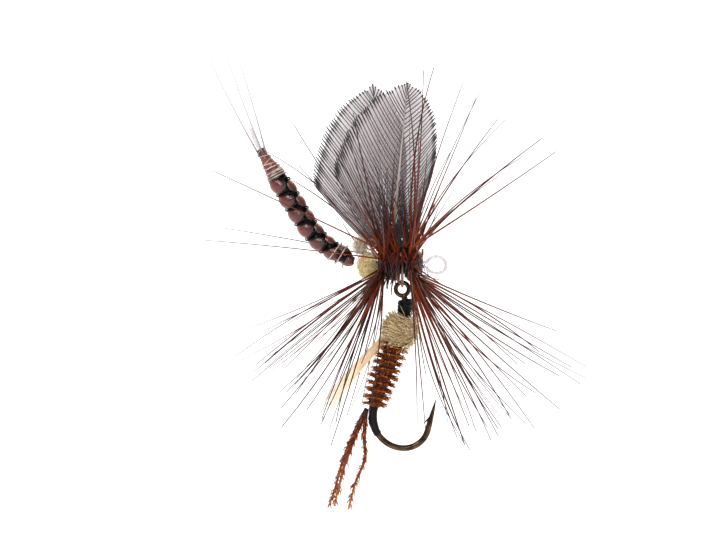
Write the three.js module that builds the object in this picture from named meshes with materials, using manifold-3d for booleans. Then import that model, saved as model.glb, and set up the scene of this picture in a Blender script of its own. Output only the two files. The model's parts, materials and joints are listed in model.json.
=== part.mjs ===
// Articulated emerging mayfly: a winged dry fly with a nymph hanging on a hook below it.
// Millimetres, +Z up, +X towards the head. The origin is the centre of the tippet loop.
import * as THREE from "three";
import { mergeVertices } from "three/addons/utils/BufferGeometryUtils.js";
import Module from "manifold-3d";

const wasm = await Module();
wasm.setup();

// ---- Driving dimensions -------------------------------------------------------------------

const PLAY = 0.06; // running clearance of the loose link
const SEAT = 0.03; // gap between pieces that are tied on each other

// Tippet loop and its core strand
const MONO_WIRE = 0.38; // diameter
const LOOP_HALF_LENGTH = 1.11; // centre line of the oval, along X
const LOOP_HALF_HEIGHT = 0.93;
const CORE_HEIGHT = 0.3; // height of the long leg, the core of the thorax
const LEG_GAP = 0.06; // between the two legs of the loop
const LEG_START = 0.2; // how far behind the oval the legs begin
const LOOP_MOUTH = 24; // half the angle that the oval is open at its legs
const HEAD_FRONT = -1.45;
const HEAD_LENGTH = 0.75;
const CORE_TAIL = -7.9; // where the long leg ends, inside the rear dubbing
const SHORT_LEG_TAIL = -2.9;

// Thorax, wound on the core
const THORAX_HEIGHT = 0.2; // height of its axis
const HEAD_RADIUS = 0.8; // at the front of the head
const FRONT_BED_RADIUS = 1.25;
const REAR_BED_RADIUS = 1.75;
const REAR_COLLAR_BED_RADIUS = 1.3;
const THREAD_PITCH = 0.3; // of the thread ridges
const THREAD_RIDGE = 0.05;
const LINK_X = -3.75; // where the loose link rides
const LINK_SLOT = 0.62; // free width of core for the link
const FRONT_COLLAR_LENGTH = 0.95;
const REAR_COLLAR_LENGTH = 0.75;
const COLLAR_WALL = 0.34;
const COLLAR_INSET = 0.08; // from the end of its bed
const REAR_BED_LENGTH = 2.4;
const SHOULDER = 0.52; // share of the rear bed that is full width
const SHOULDER_DROP = 0.12; // share of it where the width falls
const WING_BINDING_LENGTH = 1.0;
const WING_BINDING_WALL = 0.2;
const WING_BINDING_INSET = 0.15; // from the front of the rear bed
const WING_BINDING_RIDGE = 0.08;

// Loose link ring, of lighter monofilament
const LINK_WIRE = 0.3;
const EYE_DROP = 0.15; // of the hook's eye below the thorax

// Hackle barbs
const BARB_LENGTH = 23.5;
const BARB_ROOT = 0.2; // diameter
const BARB_TIP = 0.07;
const BARBS_PER_HACKLE = 36;
const FRONT_LEAN = [4, 62]; // degrees forwards
const REAR_LEAN = [-56, -2];
const QUILL_RIDGE = 0.1;

// Wings
const WING_LENGTH = 18.3;
const WING_TILT = THREE.MathUtils.degToRad(10); // each wing leans out by this
const VANE_THICKNESS = 0.16;
const RACHIS_ROOT = 0.44; // diameter
const RACHIS_TIP = 0.18;
const WING_FOOT_SIDE = 0.42;
const NEAR_WING = { foot: -4.9, lean: 5.4, front: 3.9, rear: 7.1 };
const FAR_WING = { foot: -5.35, lean: -5.2, front: 3.0, rear: 7.4 };

// Dubbing and keeper ring behind the thorax
const DUBBING_CENTRE = new THREE.Vector3(-7.78, 0, -0.05);
const DUBBING_RADII = new THREE.Vector3(1.05, 1.3, 1.37);
const TUFT_CENTRE = new THREE.Vector3(-8.3, 0, 2.14);
const TUFT_RADII = new THREE.Vector3(0.66, 0.62, 0.86);
const KEEPER_CENTRE = new THREE.Vector3(-7.15, 0, 2.3);
const KEEPER_RADIUS = 0.59;
const KEEPER_WIRE = 0.17;

// Extended abdomen of the dun
const ABDOMEN_ROOT = new THREE.Vector3(-9.05, 0, 0.6); // where it flexes
const ABDOMEN_HEADING = 165;
const ABDOMEN_BEND_RADIUS = 9.1;
const ABDOMEN_TURN = -43;
const ABDOMEN_STRAIGHT = 9.8;
const ABDOMEN_RADIUS = 1.3; // over the strands, at its thickest
const ABDOMEN_TIP_RADIUS = 0.55;
const UNDERWRAP_HALF_THICKNESS = 0.46; // between the two strands
const STRAND_PITCH = 1.9; // of the weave
const STRAND_LENGTH = 13.2;
const STRAND_LEAST = 0.12; // least half thickness
const STRAND_WAIST = 0.07; // half the share of it that is lost between two bulges
const STRAND_WIDTH = 2.1; // of its thickness
const UNDERWRAP_SHARE = 0.86; // of the abdomen's radius, across the strands
const CORE_WIRE = 0.4;
const REAR_BINDING_LENGTH = 3.4;
const BINDING_WIRE = 0.14;
const FRONT_BINDING_START = 0.95;
const FRONT_BINDING_TURNS = 2;
const FRONT_BINDING_PITCH = 0.83;
const BINDING_LIFT = 0.1; // of the front binding over the abdomen
const BINDING_RIDGE = 0.07;
const DUN_TAIL_ROOT = 0.24; // diameter
const DUN_TAIL_TIP = 0.1;

// Hook
const HOOK_WIRE = 0.7;
const EYE_WIRE = 0.5;
const EYE_HOLE = 0.95; // diameter
const EYE_HEADING = -75.5; // the shank leaves the eye this way, -90 being straight down
const NECK_BEND_RADIUS = 4.6;
const NECK_TURN = -33.2;
const SHANK_LENGTH = 9.56;
const HEEL_RADIUS = 5.6;
const BEND_BACK_RADIUS = 3.5;
const BEND_FRONT_RADIUS = 2.7;
const BEND_FRONT_TURN = 75;
const POINT_LENGTH = 3.6;
const BARB_RISE = 1.1; // how far the hook's barb stands from the point's centre line
const BARB_BACK = 1.15; // and how far it runs back along it
const BARB_PLACE = 0.6; // of the point's length, from its tip

// Nymph, as stretches of the hook from the eye
const NECK_START = 0.45;
const NECK_LENGTH = 1.9;
const NECK_WALL = 0.47; // of thread on the hook's wire
const NYMPH_THORAX_LENGTH = 3.1;
const NYMPH_THORAX_WALL = 1.6;
const NYMPH_THORAX_END_WALL = 0.4;
const NYMPH_ABDOMEN_LENGTH = 7.4;
const NYMPH_ABDOMEN_FRONT_WALL = 0.9;
const NYMPH_ABDOMEN_REAR_WALL = 0.55;
const HERL_PITCH = 0.85;
const RIB_WIRE = 0.15;
const BEND_THREAD_LENGTH = 3.3;
const BEND_THREAD_WALL = 0.19;
const BEND_THREAD_END_WALL = 0.09;
const NYMPH_TAIL_ROOT = 0.34; // diameter
const NYMPH_TAIL_TIP = 0.14;
const NECK_RIDGE = 0.12;
const HERL_RIDGE = 0.1;
const BEND_THREAD_RIDGE = 0.06;
const TAIL_GAP = 0.06; // between the tail fibres and the bend thread
const PAD_GAP = 0.35; // between the wing pad and the abdomen
const PAD_SIDE = -0.3; // the pad lies this far to the near side

const X_AXIS = new THREE.Vector3(1, 0, 0);
const Y_AXIS = new THREE.Vector3(0, 1, 0);
const GOLDEN_ANGLE = Math.PI * (3 - Math.sqrt(5));

// ---- Helpers ------------------------------------------------------------------------------

function finish(color, roughness, metalness = 0) {
  return new THREE.MeshStandardMaterial({ color, roughness, metalness });
}

function piece(name, geometry, material) {
  const mesh = new THREE.Mesh(geometry, material);
  mesh.name = name;
  return mesh;
}

function at(x, z, y = 0) {
  return new THREE.Vector3(x, y, z);
}

function spline(points) {
  return new THREE.CatmullRomCurve3(points, false, "centripetal");
}

// A flat wire path in the XZ plane: runs of [radius, turn in degrees], or [length] for a straight.
function wirePath(start, headingDegrees, runs) {
  const step = THREE.MathUtils.degToRad(7.5);
  const points = [start.clone()];
  let heading = THREE.MathUtils.degToRad(headingDegrees);
  let spot = start.clone();
  for (const [size, turnDegrees] of runs) {
    const turn = THREE.MathUtils.degToRad(turnDegrees ?? 0);
    const length = turn === 0 ? size : size * Math.abs(turn);
    const count = Math.max(turn === 0 ? 4 : 3, Math.ceil(Math.abs(turn) / step));
    const chord = turn === 0 ? length / count : 2 * size * Math.sin(Math.abs(turn) / count / 2);
    for (let k = 0; k < count; k += 1) {
      heading += turn / count / 2;
      spot = spot.clone().add(at(chord * Math.cos(heading), chord * Math.sin(heading)));
      points.push(spot);
      heading += turn / count / 2;
    }
  }
  const path = spline(points);
  path.arcLengthDivisions = 400;
  return path;
}

// Lays a geometry built round +Y on a curve: its height y becomes the distance along the curve.
function bend(geometry, curve, side = Y_AXIS) {
  const length = curve.getLength();
  const vertices = geometry.attributes.position;
  for (let i = 0; i < vertices.count; i += 1) {
    const u = THREE.MathUtils.clamp(vertices.getY(i) / length, 0, 1);
    const tangent = curve.getTangentAt(u);
    const across = tangent.clone().cross(side).normalize();
    const out = across.clone().cross(tangent);
    const spot = curve.getPointAt(u);
    spot.addScaledVector(across, vertices.getX(i));
    spot.addScaledVector(out, vertices.getZ(i));
    vertices.setXYZ(i, spot.x, spot.y, spot.z);
  }
  return geometry;
}

// Solid of round section along a curve, radiusAt being a function of 0 to 1 along it.
// squash and widen scale the section across and along the side direction.
function rod(curve, radiusAt, sides, steps, { side = Y_AXIS, squash = 1, widen = 1 } = {}) {
  const length = curve.getLength();
  const profile = [new THREE.Vector2(0, 0)];
  for (let k = 0; k <= steps; k += 1) {
    profile.push(new THREE.Vector2(radiusAt(k / steps), (length * k) / steps));
  }
  profile.push(new THREE.Vector2(0, length));
  const lathe = new THREE.LatheGeometry(profile, sides);
  lathe.scale(squash, 1, widen);
  return bend(lathe, curve, side);
}

// Hollow sleeve round a curve, from one distance along it to another.
function sleeve(curve, from, to, inner, outerAt, sides, steps) {
  const profile = [new THREE.Vector2(inner, from)];
  for (let k = 0; k <= steps; k += 1) {
    profile.push(new THREE.Vector2(outerAt(k / steps), THREE.MathUtils.lerp(from, to, k / steps)));
  }
  const innerSteps = Math.ceil(Math.abs(to - from) / 0.5);
  for (let k = 0; k <= innerSteps; k += 1) {
    profile.push(new THREE.Vector2(inner, THREE.MathUtils.lerp(to, from, k / innerSteps)));
  }
  return bend(new THREE.LatheGeometry(profile, sides), curve);
}

function solid(geometry) {
  const bare = geometry.clone();
  bare.deleteAttribute("normal");
  bare.deleteAttribute("uv");
  const merged = mergeVertices(bare, 1e-4);
  const corners = merged.index.array;
  const triangles = [];
  for (let i = 0; i < corners.length; i += 3) {
    const [a, b, c] = corners.slice(i, i + 3);
    if (a !== b && b !== c && c !== a) {
      triangles.push(a, b, c);
    }
  }
  const vertProperties = Float32Array.from(merged.attributes.position.array);
  const triVerts = Uint32Array.from(triangles);
  return new wasm.Manifold(new wasm.Mesh({ numProp: 3, vertProperties, triVerts }));
}

function geometryOf(manifold) {
  const { vertProperties, triVerts } = manifold.getMesh();
  const geometry = new THREE.BufferGeometry();
  geometry.setAttribute("position", new THREE.BufferAttribute(vertProperties, 3));
  geometry.setIndex(new THREE.BufferAttribute(triVerts, 1));
  return geometry;
}

function join(...geometries) {
  return geometryOf(geometries.map(solid).reduce((whole, part) => whole.add(part)));
}

function cut(geometry, ...tools) {
  return geometryOf(tools.map(solid).reduce((whole, tool) => whole.subtract(tool), solid(geometry)));
}

function ellipsoid(centre, radii, sides, rings) {
  const ball = new THREE.SphereGeometry(1, sides, rings);
  ball.scale(radii.x, radii.y, radii.z);
  ball.translate(centre.x, centre.y, centre.z);
  return ball;
}

// Ridges of wound thread or herl on a smooth radius.
function ridged(radius, ridge, length, pitch) {
  const turns = Math.round(length / pitch);
  return (t) => radius(t) - ridge * (0.5 + 0.5 * Math.cos(2 * Math.PI * turns * t));
}

function ridgeSteps(length, pitch) {
  return Math.round(length / pitch) * 2;
}

// ---- Finishes -----------------------------------------------------------------------------

const clearMono = () => finish(0xe6e2e4, 0.15);
const blackThread = () => finish(0x17131a, 0.6);
const hackleFeather = () => finish(0x5a2216, 0.5);
const wingFeather = () => finish(0x6f666b, 0.7);
const brownStrand = () => finish(0x6b4038, 0.45);
const herl = () => finish(0x7a3a18, 0.8);

// ---- Dun: head, thorax, wings and hackles -------------------------------------------------

const monoRadius = MONO_WIRE / 2;
const shortLegHeight = CORE_HEIGHT - MONO_WIRE - LEG_GAP;
const legsX = -LOOP_HALF_LENGTH - LEG_START;

// The loop starts at the tail of the core strand, goes once round the oval and ends in the short leg.
function tippetLoopPath() {
  const points = [];
  const straightSteps = 6;
  for (let k = 0; k < straightSteps; k += 1) {
    points.push(at(THREE.MathUtils.lerp(CORE_TAIL, legsX, k / straightSteps), CORE_HEIGHT));
  }
  const open = THREE.MathUtils.degToRad(LOOP_MOUTH);
  const turns = 18;
  for (let k = 0; k <= turns; k += 1) {
    const angle = Math.PI - open - ((2 * Math.PI - 2 * open) * k) / turns;
    points.push(at(LOOP_HALF_LENGTH * Math.cos(angle), LOOP_HALF_HEIGHT * Math.sin(angle)));
  }
  points.push(at(HEAD_FRONT - LEG_START, shortLegHeight));
  points.push(at(SHORT_LEG_TAIL, shortLegHeight));
  return spline(points);
}

const headRear = HEAD_FRONT - HEAD_LENGTH;
const slotFront = LINK_X + LINK_SLOT / 2;
const slotRear = LINK_X - LINK_SLOT / 2;
const rearBedTail = slotRear - REAR_BED_LENGTH;

function thoraxAxis(from, to) {
  return new THREE.LineCurve3(at(from, THORAX_HEIGHT), at(to, THORAX_HEIGHT));
}

function coreBore(height, from, to) {
  const radius = monoRadius + 2 * SEAT;
  const line = new THREE.LineCurve3(at(from, height), at(to, height));
  return rod(line, () => radius, 8, 1);
}

// A bed of thread on the core, with the bores for the strands that run through it.
function threadBed(from, to, radiusAt, bores) {
  const length = Math.abs(to - from);
  const profile = ridged(radiusAt, THREAD_RIDGE, length, THREAD_PITCH);
  const body = rod(thoraxAxis(from, to), profile, 16, ridgeSteps(length, THREAD_PITCH));
  return cut(body, ...bores);
}

const tippetLoop = rod(tippetLoopPath(), () => monoRadius, 8, 44);

const frontBores = [
  coreBore(CORE_HEIGHT, HEAD_FRONT + 1, LINK_X),
  coreBore(shortLegHeight, HEAD_FRONT + 1, SHORT_LEG_TAIL - 0.1),
];
const headRadiusAt = (t) => THREE.MathUtils.lerp(HEAD_RADIUS, FRONT_BED_RADIUS, Math.sqrt(t));
const headThread = threadBed(HEAD_FRONT, headRear + SEAT, headRadiusAt, frontBores);
const frontBed = threadBed(headRear, slotFront, () => FRONT_BED_RADIUS, frontBores);

function rearBedRadiusAt(t) {
  const drop = THREE.MathUtils.smoothstep(t, SHOULDER, SHOULDER + SHOULDER_DROP);
  return THREE.MathUtils.lerp(REAR_BED_RADIUS, REAR_COLLAR_BED_RADIUS, drop);
}
const rearBores = [coreBore(CORE_HEIGHT, LINK_X, rearBedTail - 1)];
const rearBed = threadBed(slotRear, rearBedTail, rearBedRadiusAt, rearBores);

const bindingStart = slotRear - WING_BINDING_INSET;
function wingBindingGeometry() {
  const length = WING_BINDING_LENGTH;
  const axis = thoraxAxis(bindingStart, bindingStart - length);
  const inner = REAR_BED_RADIUS + SEAT;
  const outer = ridged(() => inner + WING_BINDING_WALL, WING_BINDING_RIDGE, length, THREAD_PITCH);
  return sleeve(axis, 0, length, inner, outer, 16, ridgeSteps(length, THREAD_PITCH));
}

// Wing outlines: share of the rachis, share of the vane's greatest width.
const FRONT_VANE = [[0.07, 0], [0.12, 0.5], [0.33, 0.82], [0.57, 1], [0.8, 0.86], [0.93, 0.52], [1, 0]];
const REAR_VANE = [
  [0.05, 0], [0.14, 0.45], [0.3, 0.88], [0.43, 1],
  [0.6, 0.91], [0.76, 0.73], [0.9, 0.44], [1, 0],
];

function wingGeometry({ front, rear }) {
  const outline = [];
  const edge = (vane, width) => vane.map(([t, w]) => new THREE.Vector2(w * width, t * WING_LENGTH));
  const frontEdge = new THREE.SplineCurve(edge(FRONT_VANE, front)).getPoints(16);
  const rearEdge = new THREE.SplineCurve(edge(REAR_VANE, -rear)).getPoints(20);
  outline.push(...frontEdge, ...rearEdge.reverse().slice(1));
  const settings = { depth: VANE_THICKNESS, bevelEnabled: false };
  const sheet = new THREE.ExtrudeGeometry(new THREE.Shape(outline), settings);
  sheet.rotateX(Math.PI / 2);
  sheet.translate(0, VANE_THICKNESS / 2, 0);
  const rachis = new THREE.LineCurve3(at(0, 0), at(0, WING_LENGTH - 0.1));
  return join(sheet, rod(rachis, (t) => THREE.MathUtils.lerp(RACHIS_ROOT, RACHIS_TIP, t) / 2, 8, 1));
}

const bindingTop = THORAX_HEIGHT + REAR_BED_RADIUS + SEAT + WING_BINDING_WALL;
const wingFootZ = bindingTop + SEAT;

function wing(name, shape, outwards) {
  const mesh = piece(name, wingGeometry(shape), wingFeather());
  mesh.position.set(shape.foot, outwards * WING_FOOT_SIDE, wingFootZ);
  mesh.rotation.set(-outwards * WING_TILT, THREE.MathUtils.degToRad(shape.lean), 0);
  return mesh;
}

// Space that the barbs keep out of: the wings, the flexing abdomen and the swinging nymph.
function isTaken(spot) {
  const side = Math.abs(spot.y);
  const rise = spot.z - wingFootZ;
  const rearReach = Math.max(NEAR_WING.rear, FAR_WING.rear) + 3;
  const inWings = rise > -0.4 && side < 0.95 + rise * Math.tan(WING_TILT) + 0.3
    && spot.x < 1.3 && spot.x > FAR_WING.foot - rearReach && rise < WING_LENGTH + 1;
  const inAbdomen = spot.x < ABDOMEN_ROOT.x + 1.5 && spot.z > -1.6 && side < ABDOMEN_RADIUS + 0.6;
  const inTails = spot.x < ABDOMEN_ROOT.x - 6 && spot.z > 8 && side < 4;
  const drop = -1.2 - spot.z;
  const inNymph = drop > 0 && side < 2.4 + 0.3 * drop
    && spot.x < LINK_X + 3 + 0.42 * drop && spot.x > LINK_X - 2.4 - 1.3 * drop;
  return inWings || inAbdomen || inTails || inNymph;
}

// A wound hackle: ridged quill turns round the bed, with barbs that stand out all round.
// lean is the range of angles from the turns' own plane, forwards being positive.
function hackleGeometry({ start, length, bedRadius }, lean, phase) {
  const wall = COLLAR_WALL;
  const inner = bedRadius + SEAT;
  const outer = ridged(() => inner + wall, QUILL_RIDGE, length, THREAD_PITCH);
  const axis = thoraxAxis(start, start - length);
  const parts = [sleeve(axis, 0, length, inner, outer, 16, ridgeSteps(length, THREAD_PITCH))];
  for (let k = 0; k < BARBS_PER_HACKLE; k += 1) {
    const around = k * GOLDEN_ANGLE + phase;
    const share = ((k * 7) % BARBS_PER_HACKLE) / (BARBS_PER_HACKLE - 1);
    const tilt = THREE.MathUtils.degToRad(THREE.MathUtils.lerp(lean[0], lean[1], share));
    const radial = at(0, -Math.cos(around), Math.sin(around));
    const aim = radial.clone().multiplyScalar(Math.cos(tilt)).addScaledVector(X_AXIS, Math.sin(tilt));
    const reach = BARB_LENGTH * (0.88 + 0.12 * Math.sin(3.1 * k));
    const x = start - length * (0.15 + 0.7 * (k / BARBS_PER_HACKLE));
    const root = at(x, THORAX_HEIGHT).addScaledVector(radial, inner + wall * 0.45);
    const middle = root.clone().addScaledVector(aim, reach / 2).addScaledVector(radial, 0.05 * reach);
    const tip = root.clone().addScaledVector(aim, reach);
    const curve = new THREE.QuadraticBezierCurve3(root, middle, tip);
    if (curve.getPoints(14).slice(1).some(isTaken)) {
      continue;
    }
    const radiusAt = (t) => THREE.MathUtils.lerp(BARB_ROOT, BARB_TIP, t) / 2;
    parts.push(rod(curve, radiusAt, 4, 3, { side: X_AXIS }));
  }
  return join(...parts);
}

const frontCollar = { start: headRear - COLLAR_INSET, length: FRONT_COLLAR_LENGTH, bedRadius: FRONT_BED_RADIUS };
const rearCollar = {
  start: rearBedTail + REAR_COLLAR_LENGTH + COLLAR_INSET,
  length: REAR_COLLAR_LENGTH,
  bedRadius: REAR_COLLAR_BED_RADIUS,
};
const frontHackle = hackleGeometry(frontCollar, FRONT_LEAN, 0.4);
const rearHackle = hackleGeometry(rearCollar, REAR_LEAN, 1.3);

const coreInDubbing = coreBore(CORE_HEIGHT, CORE_TAIL - SEAT, CORE_TAIL + 3);
const rearDubbing = cut(ellipsoid(DUBBING_CENTRE, DUBBING_RADII, 16, 12), coreInDubbing);
const dubbingTuft = ellipsoid(TUFT_CENTRE, TUFT_RADII, 12, 8);

function keeperRingGeometry() {
  const ring = new THREE.TorusGeometry(KEEPER_RADIUS, KEEPER_WIRE / 2, 6, 20);
  ring.rotateX(Math.PI / 2);
  ring.translate(KEEPER_CENTRE.x, KEEPER_CENTRE.y, KEEPER_CENTRE.z);
  const top = at(KEEPER_CENTRE.x, KEEPER_CENTRE.z - KEEPER_RADIUS);
  const foot = at(rearBedTail - 0.2, THORAX_HEIGHT + 0.55);
  return join(ring, rod(new THREE.LineCurve3(top, foot), () => KEEPER_WIRE / 2, 6, 1));
}

const dun = new THREE.Group();
dun.add(piece("tippet_loop", tippetLoop, clearMono()));
dun.add(piece("head_thread", headThread, finish(0x33180f, 0.5)));
dun.add(piece("thorax_thread_front", frontBed, blackThread()));
dun.add(piece("thorax_thread_rear", rearBed, blackThread()));
dun.add(piece("wing_binding", wingBindingGeometry(), blackThread()));
dun.add(wing("wing_near", NEAR_WING, -1));
dun.add(wing("wing_far", FAR_WING, 1));
dun.add(piece("hackle_front", frontHackle, hackleFeather()));
dun.add(piece("hackle_rear", rearHackle, hackleFeather()));
dun.add(piece("rear_dubbing", rearDubbing, finish(0xc9b878, 0.95)));
dun.add(piece("dubbing_tuft", dubbingTuft, finish(0xcdb8a4, 0.95)));
dun.add(piece("keeper_ring", keeperRingGeometry(), clearMono()));

// ---- Loose link between the core strand and the hook's eye --------------------------------

const linkRadius = LINK_WIRE / 2;
const linkTop = CORE_HEIGHT + monoRadius + PLAY + LINK_WIRE;
const eyeTop = THORAX_HEIGHT - REAR_BED_RADIUS - EYE_DROP;
const ringRadius = (linkTop - eyeTop + PLAY + EYE_WIRE) / 2; // centre line
const linkCentreZ = linkTop - linkRadius - ringRadius;
const linkRing = new THREE.TorusGeometry(ringRadius, linkRadius, 8, 32);
linkRing.rotateY(Math.PI / 2);
const link = piece("link_ring", linkRing, clearMono());
link.position.set(LINK_X, 0, linkCentreZ);

// ---- Abdomen of the dun, in its own group at the point where it flexes --------------------

const abdomenRuns = [[ABDOMEN_BEND_RADIUS, ABDOMEN_TURN], [ABDOMEN_STRAIGHT]];
const abdomenPath = wirePath(at(0, 0), ABDOMEN_HEADING, abdomenRuns);
const corePath = wirePath(at(0, 0), ABDOMEN_HEADING, [...abdomenRuns, [8, -14], [0.6]]);
const abdomenLength = abdomenPath.getLength();

// Half thickness over the strands: a rounded front end, full at two thirds, thinner to the tail.
function abdomenRadiusAt(distance) {
  const u = distance / abdomenLength;
  const frontEnd = Math.sqrt(THREE.MathUtils.clamp(distance / 0.9, 0.12, 1));
  const swell = 0.8 + 0.2 * Math.sin(Math.PI * Math.min(u / 1.2, 1));
  const taper = THREE.MathUtils.smoothstep(u, 0.72, 1);
  return frontEnd * THREE.MathUtils.lerp(ABDOMEN_RADIUS * swell, ABDOMEN_TIP_RADIUS, taper);
}

// A stretch of the abdomen's centre line, moved across it by offsetAt(distance).
function besideAbdomen(length, offsetAt) {
  const points = [];
  const count = 20;
  for (let k = 0; k <= count; k += 1) {
    const distance = (length * k) / count;
    const u = distance / abdomenLength;
    const across = abdomenPath.getTangentAt(u).cross(Y_AXIS);
    points.push(abdomenPath.getPointAt(u).addScaledVector(across, offsetAt(distance)));
  }
  return spline(points);
}

// One woven strand: a chain of rounded bulges along one side of the underwrap.
function strandGeometry(sign, phase) {
  const inner = UNDERWRAP_HALF_THICKNESS + SEAT;
  const halfWidth = (distance) => Math.max((abdomenRadiusAt(distance) - inner) / 2, STRAND_LEAST);
  const offsetAt = (distance) => sign * (inner + halfWidth(distance));
  const wave = (distance) => 1 - Math.cos((2 * Math.PI * distance) / STRAND_PITCH + phase);
  const radiusAt = (t) => halfWidth(t * STRAND_LENGTH) * (1 - STRAND_WAIST * wave(t * STRAND_LENGTH));
  const path = besideAbdomen(STRAND_LENGTH, offsetAt);
  return rod(path, radiusAt, 8, 40, { widen: STRAND_WIDTH });
}

function underwrapGeometry() {
  const path = besideAbdomen(STRAND_LENGTH, () => 0);
  const radiusAt = (t) => Math.min(abdomenRadiusAt(t * STRAND_LENGTH) * UNDERWRAP_SHARE, ABDOMEN_RADIUS);
  const squash = UNDERWRAP_HALF_THICKNESS / (ABDOMEN_RADIUS * UNDERWRAP_SHARE);
  const body = rod(path, radiusAt, 12, 18, { squash });
  const bore = rod(corePath, () => CORE_WIRE / 2 + 2 * SEAT, 8, 24);
  return cut(body, bore);
}

// Clear thread wound round the front of the abdomen, clear of the strands.
function frontBindingGeometry() {
  const points = [];
  const count = FRONT_BINDING_TURNS * 16;
  for (let k = 0; k <= count; k += 1) {
    const turn = (FRONT_BINDING_TURNS * k) / count;
    const distance = FRONT_BINDING_START + FRONT_BINDING_PITCH * turn;
    const u = distance / abdomenLength;
    const angle = 2 * Math.PI * turn;
    const radius = abdomenRadiusAt(distance) + BINDING_WIRE / 2 + BINDING_LIFT;
    const spot = abdomenPath.getPointAt(u);
    spot.addScaledVector(abdomenPath.getTangentAt(u).cross(Y_AXIS), radius * Math.cos(angle));
    spot.addScaledVector(Y_AXIS, radius * Math.sin(angle));
    points.push(spot);
  }
  return rod(spline(points), () => BINDING_WIRE / 2, 6, count, { side: at(-0.3, 0.95) });
}

function rearBindingGeometry() {
  const start = STRAND_LENGTH + SEAT;
  const end = start + REAR_BINDING_LENGTH;
  const smooth = (t) => abdomenRadiusAt(THREE.MathUtils.lerp(start, end, t)) + 0.05;
  const outer = ridged(smooth, BINDING_RIDGE, REAR_BINDING_LENGTH, THREAD_PITCH);
  const steps = ridgeSteps(REAR_BINDING_LENGTH, THREAD_PITCH);
  return sleeve(corePath, start, end, CORE_WIRE / 2 + SEAT, outer, 12, steps);
}

// Tail fibres start at the end of the rear binding, side by side round the core.
const tailBase = abdomenPath.getPointAt(1);

function dunTailGeometry(root, bow, tip) {
  const start = tailBase.clone().add(root);
  const end = tailBase.clone().add(tip);
  const middle = start.clone().lerp(end, 0.45).add(bow);
  const curve = new THREE.QuadraticBezierCurve3(start, middle, end);
  const radiusAt = (t) => THREE.MathUtils.lerp(DUN_TAIL_ROOT, DUN_TAIL_TIP, t) / 2;
  return rod(curve, radiusAt, 5, 12);
}

const dunTails = {
  dun_tail_left: [at(-0.62, 0.28, 0.1), at(-0.5, -0.9, 0.3), at(-9.9, 20.1, 1.2)],
  dun_tail_centre: [at(-0.12, 0.35, -0.36), at(-0.2, -0.7, -0.6), at(-6.1, 17.9, -2.2)],
  dun_tail_right: [at(0.22, 0.42, 0.12), at(0.4, 0.3, 0.4), at(-4.9, 17.2, 2.4)],
};

const abdomen = new THREE.Group();
abdomen.position.copy(ABDOMEN_ROOT);
abdomen.add(piece("body_core", rod(corePath, () => CORE_WIRE / 2, 8, 24), clearMono()));
abdomen.add(piece("body_underwrap", underwrapGeometry(), finish(0x120e12, 0.2)));
abdomen.add(piece("body_strand_upper", strandGeometry(-1, 0), brownStrand()));
abdomen.add(piece("body_strand_lower", strandGeometry(1, Math.PI), brownStrand()));
abdomen.add(piece("front_binding", frontBindingGeometry(), clearMono()));
abdomen.add(piece("rear_binding", rearBindingGeometry(), finish(0x8d6560, 0.3)));
for (const [name, [root, bow, tip]] of Object.entries(dunTails)) {
  abdomen.add(piece(name, dunTailGeometry(root, bow, tip), finish(0xd9d6d4, 0.5)));
}

// ---- Nymph on its hook, in its own group at the centre of the hook's eye ------------------

const hookRadius = HOOK_WIRE / 2;
const eyeRadius = (EYE_HOLE + EYE_WIRE) / 2;
const eyeCentreZ = eyeTop - EYE_WIRE - EYE_HOLE / 2;

function hookPath() {
  const heading = THREE.MathUtils.degToRad(EYE_HEADING);
  const start = at(eyeRadius * Math.cos(heading), eyeRadius * Math.sin(heading));
  const toStraightDown = -90 - EYE_HEADING - NECK_TURN;
  return wirePath(start, EYE_HEADING, [
    [NECK_BEND_RADIUS, NECK_TURN],
    [SHANK_LENGTH],
    [HEEL_RADIUS, toStraightDown],
    [BEND_BACK_RADIUS, 90],
    [BEND_FRONT_RADIUS, BEND_FRONT_TURN],
    [POINT_LENGTH],
  ]);
}

const wire = hookPath();
const wireLength = wire.getLength();

function hookGeometry() {
  const pointStart = 1 - POINT_LENGTH / wireLength;
  const radiusAt = (t) => hookRadius * (1 - 0.93 * Math.max(0, (t - pointStart) / (1 - pointStart)) ** 1.6);
  const shank = rod(wire, radiusAt, 8, 44);
  const eye = new THREE.TorusGeometry(eyeRadius, EYE_WIRE / 2, 8, 24);
  eye.rotateX(Math.PI / 2);
  const root = wire.getPointAt(1 - (POINT_LENGTH * BARB_PLACE) / wireLength);
  const along = wire.getTangentAt(pointStart);
  const inwards = along.clone().cross(Y_AXIS);
  const tip = root.clone().addScaledVector(along, -BARB_BACK);
  tip.addScaledVector(inwards, BARB_RISE * Math.sign(-inwards.x));
  const barb = rod(new THREE.LineCurve3(root, tip), (t) => THREE.MathUtils.lerp(0.17, 0.03, t), 6, 1);
  return join(shank, eye, barb);
}

const neckEnd = NECK_START + NECK_LENGTH;
const thoraxEnd = neckEnd + NYMPH_THORAX_LENGTH;
const nymphAbdomenEnd = thoraxEnd + NYMPH_ABDOMEN_LENGTH;
const bendThreadEnd = nymphAbdomenEnd + BEND_THREAD_LENGTH;
const onWire = hookRadius + SEAT;

function woundOnHook(from, to, radiusAt, ridge, pitch, sides) {
  const length = to - from;
  const outer = ridge > 0 ? ridged(radiusAt, ridge, length, pitch) : radiusAt;
  const steps = ridge > 0 ? ridgeSteps(length, pitch) : 10;
  return sleeve(wire, from + SEAT, to, onWire, outer, sides, steps);
}

const nymphAbdomenFront = hookRadius + NYMPH_ABDOMEN_FRONT_WALL;
const bendThreadFront = hookRadius + BEND_THREAD_WALL;

function thoraxSwell(t) {
  const swell = Math.sin(Math.PI * (0.04 + 0.92 * t)) ** 0.6;
  return hookRadius + THREE.MathUtils.lerp(NYMPH_THORAX_END_WALL, NYMPH_THORAX_WALL, swell);
}

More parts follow.
